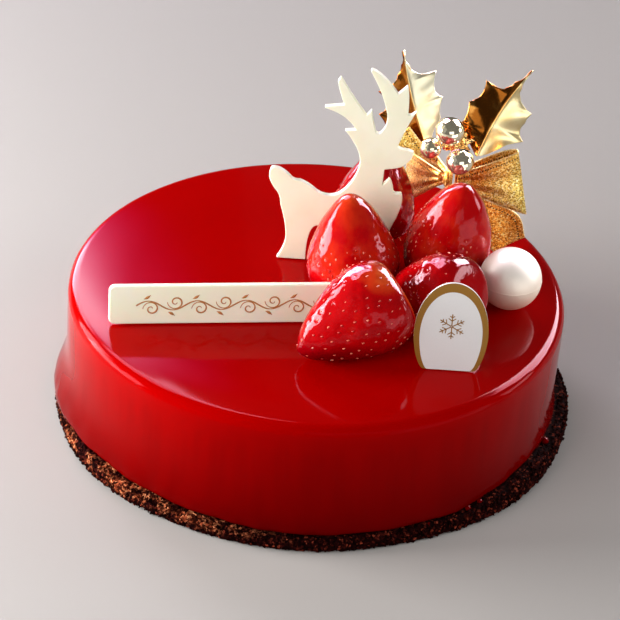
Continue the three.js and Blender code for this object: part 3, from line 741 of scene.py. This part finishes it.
REINDEER_PLACE = (0, 14.2)
REINDEER_START = (-16.4, 29.7)
REINDEER_OUTLINE = [
    # tail, rump, back and neck
    (-16.2, 30.9, -13.9, 30.3), (-11.6, 29.3, -10, 27.4), (-9.1, 26.5, -7.3, 26.6), (-5, 25.9, -2.1, 23.4),
    (0.8, 21.4, 4.2, 22.9), (7.9, 25.3, 9.7, 30.9), (11.3, 35.7, 7.8, 40.8), (6.6, 42.8, 5.1, 44.3),
    # rear antler
    (8.4, 44.7), (5.9, 49.4, -1.3, 51.3), (-1.3, 51.8), (4.4, 52.7), (3, 56, 2, 60.2), (2.8, 61.6),
    (3.5, 60.8), (6.5, 55.8, 11.2, 49.7), (12.7, 51.5), (13.2, 47.9, 14.4, 44.3),
    # front antler
    (15.4, 43.5, 16.2, 44.9), (17.8, 46.8, 17.3, 50.6), (16, 56, 13.3, 61.1), (11.5, 64.4), (12, 64.8),
    (15.8, 63.4, 20.1, 57.3), (22.8, 60.1), (23.8, 56.5, 23.5, 50.6), (24.5, 50.7), (26, 51.9),
    (23.4, 47, 21.1, 40),
    # face and throat
    (22.2, 39.1, 24.3, 39.1), (26, 38.5), (26.2, 35.9, 22.6, 33.3), (20, 32.5, 17.7, 32.2),
    # chest and ruff
    (17.4, 26.9), (19.4, 29.1), (20.4, 28.1, 20.9, 24.8), (21.4, 24.3), (23.3, 24.4),
    (24.6, 22.3, 22.2, 15.6),
    # front legs, belly and hind leg
    (19.4, 10, 18.8, 0), (10.4, 0), (11.4, 6.9, 8.6, 11.3), (3.5, 12.3, -1.6, 11.8), (-4.4, 10.9, -4.3, 0),
    (-13.1, 0), (-10.7, 3.9, -10.7, 7.5), (-10.7, 11.5, -12.8, 18.1), (-13.1, 21.5, -14.4, 22.9),
    (-17.6, 26.9, *REINDEER_START),
]
BAR_PLACE = (-25.6, -24)
BAR_TURN = 8
BAR_LENGTH = 71
BAR_HEIGHT = 12.7
BAR_CORNER = 1.9


def outline_points(start, stretches, steps=10):
    """The points of an outline whose curved stretches have a bending point before their end."""
    points = [np.array(start, float)]
    for stretch in stretches:
        begin, end = points[-1], np.array(stretch[-2:], float)
        if len(stretch) == 2:
            points.append(end)
            continue
        bend = np.array(stretch[:2], float)
        for share in np.arange(1, steps + 1) / steps:
            points.append((1 - share) ** 2 * begin + 2 * share * (1 - share) * bend + share ** 2 * end)
    return points[:-1]


def upright(flat, y):
    """Points in the plane at y, from pairs of x and z."""
    flat = np.asarray(flat)
    return np.stack((flat[:, 0], np.full(len(flat), y), flat[:, 1]), -1)


def plate_points(outline, thickness):
    """An upright plate with the outline as its front and back, in points and faces."""
    count = len(outline)
    ends = [[*range(count)], [*range(2 * count - 1, count - 1, -1)]]
    points = np.concatenate((upright(outline, -thickness / 2), upright(outline, thickness / 2)))
    return points, ends + grid_faces(2, count, closed=True)


def stood(points, place, turn, lean):
    """Points of an upright piece turned about Z and leaning back, stood on the glaze at a place."""
    rotation = Matrix.Rotation(math.radians(turn), 3, "Z") @ Matrix.Rotation(math.radians(-lean), 3, "X")
    moved = points @ np.array(rotation).T + [*place, 0]
    moved[:, 2] += TOPPING_FLOOR - moved[:, 2].min()
    return moved


def soften_edges(piece, width):
    """Rounds the piece's sharp edges, and keeps its large faces flat."""
    modifier = piece.modifiers.new("soft edge", "BEVEL")
    modifier.width = width * MM
    modifier.segments = 3
    modifier.limit_method = "ANGLE"
    modifier.angle_limit = math.radians(40)


def reindeer():
    points, faces = plate_points(outline_points(REINDEER_START, REINDEER_OUTLINE), PLATE_THICKNESS)
    points = stood(points, REINDEER_PLACE, 0, PLATE_LEAN)
    piece = add_piece("white_reindeer", points, faces, [WHITE_CHOCOLATE], "white_chocolate",
                      ["reindeer_plate"], smooth=False)
    soften_edges(piece, 0.3)


def chocolate_bar():
    right, low, high = BAR_LENGTH / 2 - BAR_CORNER, BAR_CORNER, BAR_HEIGHT - BAR_CORNER
    outline = []
    for x, z, start in ((right, low, -90), (right, high, 0), (-right, high, 90), (-right, low, 180)):
        for turn in np.radians(start + np.linspace(0, 90, 10)):
            outline.append((x + BAR_CORNER * math.cos(turn), z + BAR_CORNER * math.sin(turn)))
    points, faces = plate_points(outline, PLATE_THICKNESS)
    stroke_points, stroke_faces = bar_scroll()
    both = stood(np.concatenate((points, stroke_points)), BAR_PLACE, BAR_TURN, PLATE_LEAN)
    piece = add_piece("white_bar", both[:len(points)], faces, [PAINTED_LIGHT_BAR_CHOCOLATE], "white_chocolate",
                      ["chocolate_bar"], smooth=False)
    soften_edges(piece, 0.45)
    add_piece("bar_scroll", both[len(points):], stroke_faces, [BROWN_INK], "white_chocolate")


def stroke(path, widths, front):
    """A thin raised stroke on an upright face: path holds x and z, front is the face's y."""
    along = unit(np.gradient(path, axis=0))
    across = np.stack((-along[:, 1], along[:, 0]), -1) * widths[:, None] / 2
    sides = ((1, -0.05), (-1, -0.05), (-1, 0.03), (1, 0.03))
    points = np.stack([upright(path + side * across, front + depth) for side, depth in sides], 1)
    return points.reshape(-1, 3), capped_faces(len(path), 4)


def bar_scroll():
    """A running scroll of thin brown strokes: a wavy stem with a curl and a small leaf in each wave."""
    front = -PLATE_THICKNESS / 2
    middle, wave, step = 6.2, 1.5, 7.2
    start, count = -27.5, 8
    xs = np.linspace(start, start + count * step, 40 * count)
    phase = (xs - start) / step * math.pi
    stem = np.stack((xs, middle + wave * np.sin(phase)), -1)
    parts = [stroke(stem, 0.26 + 0.2 * np.abs(np.cos(phase)), front)]
    turn = np.linspace(0, 2.9 * math.pi, 60)
    reach = np.linspace(2.5, 0.35, 60)
    share = np.linspace(0, 1, 24)
    for k in range(count):
        side = 1 if k % 2 == 0 else -1
        curl = np.stack((-np.cos(turn) * reach, side * np.sin(turn) * reach), -1)
        curl = curl + [start + (k + 0.62) * step, middle - side * 1.1]
        parts.append(stroke(curl, np.interp(turn, [0, 4, 9.2], [0.2, 0.5, 0.18]), front))
        leaf = np.stack((share * 2.1, side * 1.3 * share ** 1.5), -1)
        leaf = leaf + [start + (k + 0.3) * step, middle + side * 2.2]
        parts.append(stroke(leaf, 0.08 + 0.75 * np.sin(math.pi * share) ** 1.5, front))
    return joined(parts)


# Egg-shaped card with a gold rim and a small snow star

CARD_PLACE = (39.4, -41.6)
CARD_LEAN = 6
CARD_THICKNESS = 0.7

# Half of the width and of the foot, the height at which it is widest, and the height
CARD_OUTLINE = (10.8, 7.4, 11.6, 28.2)
CARD_RIM_INSIDE = (9.1, 6.3, 11.2, 25.3)


def egg_outline(reach, foot, widest, height, steps=22):
    """An egg's outline, from the right end of its foot over the top to the left end."""
    lower = [(foot, 0), (foot + (reach - foot) * 0.47, 0.6), (reach, widest * 0.56), (reach, widest)]
    upper = [(reach, widest), (reach, widest + (height - widest) * 0.55)]
    upper += [(reach * 0.574, height), (0, height)]
    right = []
    for corners in (lower, upper):
        for share in np.arange(steps) / steps:
            rest = 1 - share
            weights = [rest ** 3, 3 * share * rest ** 2, 3 * share ** 2 * rest, share ** 3]
            right.append(weights @ np.array(corners, float))
    right = np.array(right)
    return np.concatenate((right, [[0, height]], right[:0:-1] * [-1, 1], [[-foot, 0]]))


def egg_card():
    outer, inner = egg_outline(*CARD_OUTLINE), egg_outline(*CARD_RIM_INSIDE)
    front = -CARD_THICKNESS / 2
    points, faces = plate_points(outer, CARD_THICKNESS)
    points = np.concatenate((points, upright(inner, front)))
    count = len(outer)
    rim = [(k, k + 1, 2 * count + k + 1, 2 * count + k) for k in range(count - 1)]
    white = [[*range(2 * count, 3 * count)], (0, 2 * count, 3 * count - 1, count - 1)]
    kinds = [0] * (len(faces) - 1) + [1] * len(rim) + [0, 0]
    mark_points, mark_faces = snow_star((0, 14.2), 4.0, front)
    both = stood(np.concatenate((points, mark_points)), CARD_PLACE, 0, CARD_LEAN)
    add_piece("rimmed_card", both[:len(points)], faces[1:] + rim + white, [CARD_WHITE, CARD_GOLD], "card",
              ["egg_card"], smooth=False, kinds=kinds)
    add_piece("card_star", both[len(points):], mark_faces, [CARD_GOLD], "card")


def snow_star(centre, reach, front):
    """Six thin arms with two pairs of barbs each."""
    share = np.linspace(0.04, 1, 12)[:, None]
    parts = []
    for turn in np.radians(np.arange(30, 390, 60)):
        outward = np.array([math.cos(turn), math.sin(turn)])
        sideways = np.array([-outward[1], outward[0]])
        parts.append(stroke(centre + share * outward * reach, np.full(12, 0.3), front))
        for base, size in ((0.45, 0.34), (0.72, 0.22)):
            for side in (-1, 1):
                barb = outward * base + share * size * (0.6 * outward + side * 0.8 * sideways)
                parts.append(stroke(centre + barb * reach, np.full(12, 0.26), front))
    return joined(parts)


# Pearl ball, with a fine seam round its middle

PEARL_RADIUS = 9.5
PEARL_PLACE = (57.3, -4.8)
SEAM = 0.07


def pearl_ball():
    turns = np.radians([*np.linspace(0, 86, 44), *np.linspace(87, 93, 21), *np.linspace(94, 180, 44)])
    away = (turns - math.pi / 2) * PEARL_RADIUS / 0.16
    reach = PEARL_RADIUS - SEAM + SEAM * np.exp(-(away ** 2))
    points, faces = revolve(np.stack((reach * np.sin(turns), -reach * np.cos(turns)), -1), 120)
    points = points + [*PEARL_PLACE, TOPPING_FLOOR + PEARL_RADIUS]
    add_piece("white_pearl", points, faces, [PEARL], "pearl", ["pearl_ball"])


# Gold pick

PICK_PLACE = (40.5, 30.2)
STEM_RADIUS = 0.9
WIRE_RADIUS = 0.45
TUFT_PLACE = (39.3, 29, 36)
TUFT_SIZE = (4.5, 1.9, 3.9)
TUFT_FRILL = 0.16

# Name, place, with its height above the glaze, and radius
GOLD_BALLS = [
    ("gold_ball_top", (36.6, 22.6, 43.3), 4.35),
    ("gold_ball_left", (31.3, 23.4, 36.6), 3.3),
    ("gold_ball_low", (40.4, 21.6, 33.6), 4.2),
]


def above(x, y, height):
    """A point given by its height above the glaze."""
    return np.array([x, y, CAKE_TOP + height], float)


def pick_stem():
    top = TUFT_PLACE[2] - TUFT_SIZE[2] * (1 + TUFT_FRILL) - GAP
    heights = np.linspace(GAP, top, 60)
    path = np.array([above(*PICK_PLACE, height) for height in heights])
    points, faces = tube(path, STEM_RADIUS - 0.12 * (0.5 + 0.5 * np.sin(heights * 2.6)), 20)
    add_piece("gold_stem", points, faces, [GOLD_FOIL], "gold_foil", ["pick_stem"])


def foil_tuft():
    """Crumpled foil: a frilled cushion with sharp pleats."""
    def rule(radius, height, angle):
        place = polar(radius, angle, height)
        pleats = np.abs(value_noise(place, 0.28, 11)) + 0.5 * np.abs(value_noise(place, 0.14, 12))
        frill = 1 + TUFT_FRILL * np.sin(7 * angle) * radius ** 3
        return radius * frill * (1.06 - 0.35 * pleats), height * (1.06 - 0.35 * pleats)

    points, faces = revolve(half_circle(32), 72, rule)
    points = points[:, [0, 2, 1]] * TUFT_SIZE + above(*TUFT_PLACE)
    add_piece("crumpled_foil", points, faces, [GOLD_FOIL], "gold_foil", ["foil_tuft"], smooth=False)


def gold_ball(name, place, radius):
    """A polished ball with a short wire that points at the foil."""
    centre = above(*place)
    reach = centre - above(*TUFT_PLACE)
    tuft_edge = 1 / np.linalg.norm(unit(reach) / TUFT_SIZE)
    wire = np.linalg.norm(reach) - tuft_edge - 2 * GAP
    profile = [(0, -wire), (WIRE_RADIUS, -wire)]
    for turn in np.linspace(math.asin(WIRE_RADIUS / radius), math.pi, 48, endpoint=False):
        profile.append((radius * math.sin(turn), -radius * math.cos(turn)))
    profile.append((0, radius))
    points, faces = revolve(profile, 64)
    points = points @ turn_to(reach).T + centre
    add_piece("polished_" + name, points, faces, [POLISHED_GOLD], "polished_gold", [name])


# Holly leaves, as in the solids but with fine spikes, veins and creases

VEIN_SLANT = 0.5
LEAF_THICKNESS = 0.3
LEAF_WAVE = 0.55
LAST_VEIN = 0.985
NARROWEST = 0.35
EDGE_SAG = 0.1

# How far the halves fold back, in degrees, left and right of the midrib
FOLDS = {-1: 18, 1: 16}

# The edge of each half holds stops of where its vein would leave the midrib and how far out it then lies
# pale is how bright the painted light on each leaf's right half is.
LEAVES = [
    dict(name="holly_leaf_left", base=(30.2, 29.6, 33.3), tip=(21.1, 38.5, 61), bow=0.9, pale=1.0, edges={
        -1: [(0, 0.5), (1.2, 4.6), (3.4, 10.8), (6.4, 12), (8.4, 9.6), (10.4, 8.6), (12.4, 9), (14.1, 10.4),
             (16, 7.2), (18.7, 4.9), (21.7, 3.1), (25.4, 1.4)],
        1: [(0, 0.5), (0.6, 2.3), (2.8, 4.2), (3.8, 7.1), (6.7, 7.6), (8.9, 9.3), (10.6, 8.2), (12.7, 7.5),
            (17.3, 9), (19.4, 4.8), (21.8, 2.7), (24.7, 1.3)],
    }),
    dict(name="holly_leaf_right", base=(45.5, 28.4, 32), tip=(60.3, 36.5, 58.3), bow=1.6, pale=0.7, edges={
        -1: [(0, 0.5), (0.4, 4.2), (0.7, 7.1), (1.7, 8.7), (4.4, 8.2), (8.2, 9.4), (10.4, 8), (13, 7.2),
             (16.8, 8.8), (18.8, 4.2), (20.9, 2.6), (24.6, 1.3)],
        1: [(0, 1.4), (0.6, 3.2), (2, 6.2), (3.1, 8), (4, 12.8), (7.1, 10.4), (10.8, 10), (14.3, 10),
            (16.9, 6.4), (20.1, 3.5), (24, 1.5), (28, 0.5)],
    }),
]


def edge_stop(edge, length, share):
    """The edge's stop at a share of its way from the base to the tip, as along and out."""
    stops = [*edge, (length, 0)]
    place = share * (len(stops) - 1)
    first = min(int(place), len(stops) - 2)
    (start, begin), (end, finish) = stops[first], stops[first + 1]
    part = place - first
    sag = EDGE_SAG * (end - start) * math.sin(math.pi * part)
    return start + (end - start) * part, max(begin + (finish - begin) * part - sag, NARROWEST)


def holly_leaf(name, base, tip, bow, pale, edges):
    base, tip = above(*base), above(*tip)
    length = float(np.linalg.norm(tip - base))
    along = unit(tip - base)
    facing = unit(along * along[1] - [0, 1, 0])
    across = np.cross(along, facing)
    rows, columns = 145, 49
    middle = np.zeros((rows, columns, 3))
    for i, u in enumerate(np.arange(rows) / (rows - 1)):
        for j, v in enumerate(np.arange(columns) / (columns - 1)):
            side = -1 if v < 0.5 else 1
            edge, fold = edges[side], math.radians(FOLDS[side])
            share = abs(v - 0.5) * 2
            edge_start, edge_out = edge_stop(edge, length, u)
            start = u * length * LAST_VEIN * (1 - share) + edge_start * share
            out = share * edge_out
            forward = min(start + out * VEIN_SLANT, length)
            sideways = side * out * math.cos(fold) - bow * math.sin(math.pi * forward / length)
            wave = LEAF_WAVE * share * math.sin(start / length * 5 * math.pi + side)
            lift = wave - out * math.tan(fold) + leaf_relief(edge, u, share, out)
            middle[i, j] = base + along * forward + across * sideways + facing * lift
    middle = middle + facing * value_noise(middle, 5, 21)[..., None] * 0.12
    points, faces = sheet(middle, LEAF_THICKNESS)
    # Painted light and shade: the right half is painted pale gold, as lit, and the left half dark amber, as
    # in shade.
    right_half = np.tile(smoothstep(np.arange(columns), columns / 2 - 1, columns / 2 + 1), 2 * rows)
    add_piece("gold_" + name, points, faces, [LEAF_FOIL], "gold_foil", [name], shade=pale * right_half)


def leaf_relief(edge, u, share, out):
    """A raised midrib, and a ridge along the vein that runs out to each spike."""
    relief = 0.22 * math.exp(-((out / 0.5) ** 2))
    for k in range(1, len(edge) - 1):
        if edge[k][1] > max(edge[k - 1][1], edge[k + 1][1]):
            relief += 0.3 * share * math.exp(-(((u * len(edge) - k) / 0.35) ** 2))
    return relief


# Ribbon bow

RIBBON_WIDTH = 22
RIBBON_PINCH = 3.6
RIBBON_THICKNESS = 0.35
KNOT_PLACE = (37.4, 26.6, 24.6)
KNOT_SIZE = (1.5, 2.7, 3.2)
KNOT_REACH = 2.2
KNOT_DEPTH = 1.1
CORD_STEP = 0.16
CORD_RADIUS = 0.24
BEAD_HEIGHT = 0.08
BEAD_LENGTH = 0.95

# The last pair of each loop is painted shade: how far its gold is darkened to red-brown near the knot and at
# its end.
RIBBON_LOOPS = [
    dict(name="ribbon_loop_right", out=(1, 0, 0.01), lean=(-0.2, 0, 1), reach=22.6, depth=5, lift=1.8,
         painted_shade=(0.75, 0.15)),
    dict(name="ribbon_loop_left", out=(-0.5, 0.8, -0.48), lean=(0.1, 0.05, 1), reach=26, depth=7, lift=4,
         painted_shade=(0.5, 0.2)),
]

# Each holds the stops of its upper and lower edge and how much painted shade darkens its gold
RIBBON_TAILS = [
    dict(name="ribbon_tail_right", painted_shade=0.85,
         upper=[(39.8, 26.7, 21.2), (50, 26.6, 17.4), (59.6, 27.2, 12.8), (62.6, 27.8, 4.8)],
         lower=[(39.2, 26, 17.6), (43, 24.8, 12), (48, 24.4, 6), (53.6, 24.4, 0.8)]),
    dict(name="ribbon_tail_left", painted_shade=0.9,
         upper=[(38.2, 28.4, 20.6), (39.4, 35, 16), (41.4, 42, 10), (43.4, 47, 3)],
         lower=[(36.8, 28.2, 18), (36.4, 33, 12), (35.6, 37.6, 6), (34.8, 41, 0.8)]),
    dict(name="ribbon_end_left", painted_shade=0.0,
         upper=[(33.8, 27.6, 31.6), (31, 27.6, 33.4), (28.4, 28.2, 35.5), (24.4, 30.4, 39.6)],
         lower=[(34, 27.3, 28.6), (30.6, 27.4, 29.8), (25.6, 28, 32.4), (21, 29, 33.9)]),
]


def run_lengths(points, axis=0):
    """How far along a row of points each lies, from 0."""
    steps = np.linalg.norm(np.diff(points, axis=axis), axis=-1)
    return np.insert(np.cumsum(steps, axis=axis), 0, 0, axis=axis)


def ribbon_piece(name, middle, painted_shade_share):
    """A glittering ribbon along a grid of middle points, with a fine corded edge on both sides. The third
    argument gives at each point how much painted shade turns its gold red-brown."""
    columns = middle.shape[1]
    along = run_lengths(middle[:, columns // 2])
    across = run_lengths(middle, axis=1)
    uv = np.stack((np.repeat(along[:, None], columns, 1), across[:, -1:] - across), -1).reshape(-1, 2)
    points, faces = sheet(middle, RIBBON_THICKNESS)
    ribbon_faces = len(faces)
    parts = [(points, faces)]
    for edge in (middle[:, 0], middle[:, -1]):
        length = run_lengths(edge)
        stops = np.arange(0, length[-1], CORD_STEP)
        path = np.stack([np.interp(stops, length, edge[:, axis]) for axis in range(3)], -1)
        parts.append(tube(path, CORD_RADIUS + BEAD_HEIGHT * np.cos(stops * 2 * math.pi / BEAD_LENGTH), 6))
    points, faces = joined(parts)
    cords = np.zeros(len(points) - 2 * len(uv))
    uv = np.concatenate((uv, uv, np.stack((cords, cords), -1)))
    shade = np.concatenate((painted_shade_share.ravel(), painted_shade_share.ravel(), cords))
    kinds = [0] * ribbon_faces + [1] * (len(faces) - ribbon_faces)
    add_piece("glitter_" + name, points, faces, [RIBBON, RIBBON_EDGE], "gold_ribbon", [name], kinds=kinds,
              uv=uv, shade=shade)


def ribbon_loop(name, out, lean, reach, depth, lift, painted_shade):
    outward = unit(out)
    backward = unit(np.cross([0, 0, 1], outward))
    backward = backward * np.sign(backward[1])
    u = np.linspace(0, 1, 150)[:, None]
    v = np.linspace(-1, 1, 31)
    opening = np.sin(math.pi * (0.01 + 0.98 * u))
    spread = opening ** 0.9
    side = -np.cos(math.pi * u)
    half = (RIBBON_PINCH + (RIBBON_WIDTH - RIBBON_PINCH) * spread) / 2
    away = KNOT_REACH + (reach - KNOT_REACH) * spread
    gather = 0.3 * (1 - opening) * np.sin(v * 9) + 0.22 * opening * np.sin(v * 4 + 2 * u)
    behind = side * (KNOT_DEPTH + (depth / 2 - KNOT_DEPTH) * opening) + gather
    middle = above(*KNOT_PLACE) + away[..., None] * outward + behind[..., None] * backward
    middle = middle + (v * half)[..., None] * unit(lean)
    middle[..., 2] += lift * np.maximum(side, 0) * opening
    # Painted shade grows towards the knot.
    near_knot = 1 - smoothstep(away - 6 * v, 5, 20)
    ribbon_piece(name, middle, painted_shade[1] + (painted_shade[0] - painted_shade[1]) * near_knot)


def smooth_curve(stops, count):
    """Points along a smooth curve through a few stops."""
    stops = np.array([above(*stop) for stop in stops])
    padded = np.concatenate(([2 * stops[0] - stops[1]], stops, [2 * stops[-1] - stops[-2]]))
    points = []
    for place in np.linspace(0, len(stops) - 1, count):
        k = min(int(place), len(stops) - 2)
        t = place - k
        a, b, c, d = padded[k:k + 4]
        points.append(0.5 * (2 * b + (c - a) * t + (2 * a - 5 * b + 4 * c - d) * t ** 2
                             + (3 * b - a - 3 * c + d) * t ** 3))
    return np.array(points)


def ribbon_tail(name, painted_shade, upper, lower):
    rows, columns = 110, 31
    upper, lower = smooth_curve(upper, rows), smooth_curve(lower, rows)
    share = np.linspace(0, 1, columns)[None, :, None]
    middle = lower[:, None] * (1 - share) + upper[:, None] * share
    ripple = 0.25 * np.sin(share[..., 0] * 7 + np.linspace(0, 4, rows)[:, None])
    middle[..., 1] += ripple * np.linspace(0, 1, rows)[:, None]
    ribbon_piece(name, middle, np.full((rows, columns), painted_shade))


def ribbon_knot():
    def rule(radius, height, angle):
        return radius * (1 + 0.06 * np.sin(9 * angle) * radius), height

    points, faces = revolve(half_circle(40), 64, rule)
    uv = np.stack((points[:, 0] * 2, points[:, 2] * 3 + 8), -1)
    points = points * KNOT_SIZE + above(*KNOT_PLACE)
    # Painted shade: the knot's gold is darkened part of the way to red-brown.
    add_piece("glitter_knot", points, faces, [RIBBON], "gold_ribbon", ["ribbon_knot"], uv=uv,
              shade=np.full(len(points), 0.7))


crumb_base()
loose_crumbs()
glazed_cake()
glaze_drops()
for number, berry in enumerate(STRAWBERRIES):
    strawberry(berry, number)
reindeer()
chocolate_bar()
egg_card()
pearl_ball()
pick_stem()
foil_tuft()
for ball in GOLD_BALLS:
    gold_ball(*ball)
for leaf in LEAVES:
    holly_leaf(**leaf)
for loop in RIBBON_LOOPS:
    ribbon_loop(**loop)
for tail in RIBBON_TAILS:
    ribbon_tail(**tail)
ribbon_knot()


# Studio: a pale floor, a glowing panel at the back left, and soft lights round the cake. Some of the lights
# only light it, and some only show in what mirrors them.

AIM = (0, 0, 0.03)

# Name, azimuth, elevation and distance from the cake, width and height, power, and where they differ from
# soft_light's, in what it shows, its colour and what it is aimed at
LIGHTS = [
    ("back_left_matt", (-150, 26, 0.9), (0.4, 0.5), 5, "matt", (0.95, 0.92, 1)),
    ("left_high", (-150, 53, 0.8), (0.42, 0.26), 7, "gloss", (1, 0.75, 0.98)),
    ("left_gloss", (-112, 20, 0.8), (0.22, 0.4), 6, "gloss", (1, 0.9, 0.97)),
    ("left", (-90, 13, 0.5), (0.3, 0.2), 5.4),
    ("left_wide", (-82, 28, 0.8), (1.4, 0.7), 0.6),
    ("left_front", (-42, 24, 0.8), (0.6, 0.5), 4, "matt"),
    ("right_wide", (62, 26, 0.8), (1.4, 0.7), 2.8, "matt"),
    ("front_leaf", (16, 18, 0.8), (0.5, 0.3), 0.8, "gloss"),
    ("right_leaf", (52, 3, 0.2), (0.16, 0.07), 0.07, "gloss", (1, 1, 1), (0.05, 0.03, 0.08)),
    ("right_back", (134, 35, 0.8), (0.55, 0.42), 30, "gloss", (1, 0.88, 0.96)),
    ("right_low", (95, 14, 0.6), (0.2, 0.16), 1.1),
]


def flat_sheet(name, width, height, level, material):
    """A rectangle that isn't part of the cake."""
    x, y = width / 2, height / 2
    mesh = bpy.data.meshes.new(name)
    mesh.from_pydata([(-x, -y, level), (x, -y, level), (x, y, level), (-x, y, level)], [], [(0, 1, 2, 3)])
    mesh.materials.append(material)
    made = add_object(name, mesh)
    return made


def point_at(made, azimuth, elevation, distance, aim=AIM):
    """Puts a light round the cake, where azimuth 0 is straight in front and 90 at the right, and aims it."""
    turn, rise = math.radians(azimuth), math.radians(elevation)
    level = distance * math.cos(rise)
    made.location = (level * math.sin(turn), -level * math.cos(turn), distance * math.sin(rise) + AIM[2])
    made.rotation_mode = "QUATERNION"
    made.rotation_quaternion = (Vector(aim) - made.location).to_track_quat("-Z", "Y")


def soft_light(name, place, size, power, shows="both", colour=(1, 1, 1), aim=AIM):
    """A softbox that shows in what it lights, in what mirrors it, or in both."""
    data = bpy.data.lights.new(name, "AREA")
    data.shape = "RECTANGLE"
    data.size, data.size_y = size
    data.energy = power
    data.color = colour
    light = add_object(name, data)
    light.visible_diffuse = shows != "gloss"
    light.visible_glossy = shows != "matt"
    point_at(light, *place, aim)


def slanted_panel(name, place, width, height, strength, edge):
    """A softbox whose light grows from its right edge, which slants, and fades out near its top. edge holds
    where the growing starts and ends, as the distance to the left plus half of the height, in metres."""
    look = Look(name, Roughness=1, Base_Color=(0, 0, 0))
    rise = look.axis("Y")
    risen = look.math("MULTIPLY", look.math("MINIMUM", rise, 0.31 * height), 0.5)
    inward = look.math("POWER", look.span(look.math("ADD", look.axis("X"), risen), *edge), 2)
    share = look.math("MULTIPLY", inward, look.span(rise, 0.5 * height, 0.33 * height))
    tint = look.ramp(share, (0, 0.8, 0.03, 0.5), (0.35, 0.75, 0.32, 0.7), (1, 0.85, 0.78, 1))
    look.set(Emission_Strength=look.math("MULTIPLY", share, strength), Emission_Color=tint)
    panel = flat_sheet(name, width, height, 0, look.material)
    panel.visible_diffuse = False
    point_at(panel, *place)


def studio():
    pale = two_tone(
        "floor", (400, 2, 0, 1), (0.41, 0.385, 0.365), (0.44, 0.415, 0.395), Roughness=0.8, IOR=1.15)
    flat_sheet("floor", 6, 6, -0.0001, pale)
    slanted_panel("back_left", (-156, 24.5, 0.9), 0.585, 0.6, 30, (-0.194, -0.05))
    for light in LIGHTS:
        soft_light(*light)
    scene = bpy.context.scene
    scene.world = bpy.data.worlds.new("studio")
    scene.world.use_nodes = True
    background = scene.world.node_tree.nodes["Background"]
    background.inputs["Color"].default_value = (1, 0.98, 0.96, 1)
    background.inputs["Strength"].default_value = 0.11
    scene.view_settings.view_transform = "Standard"


studio()
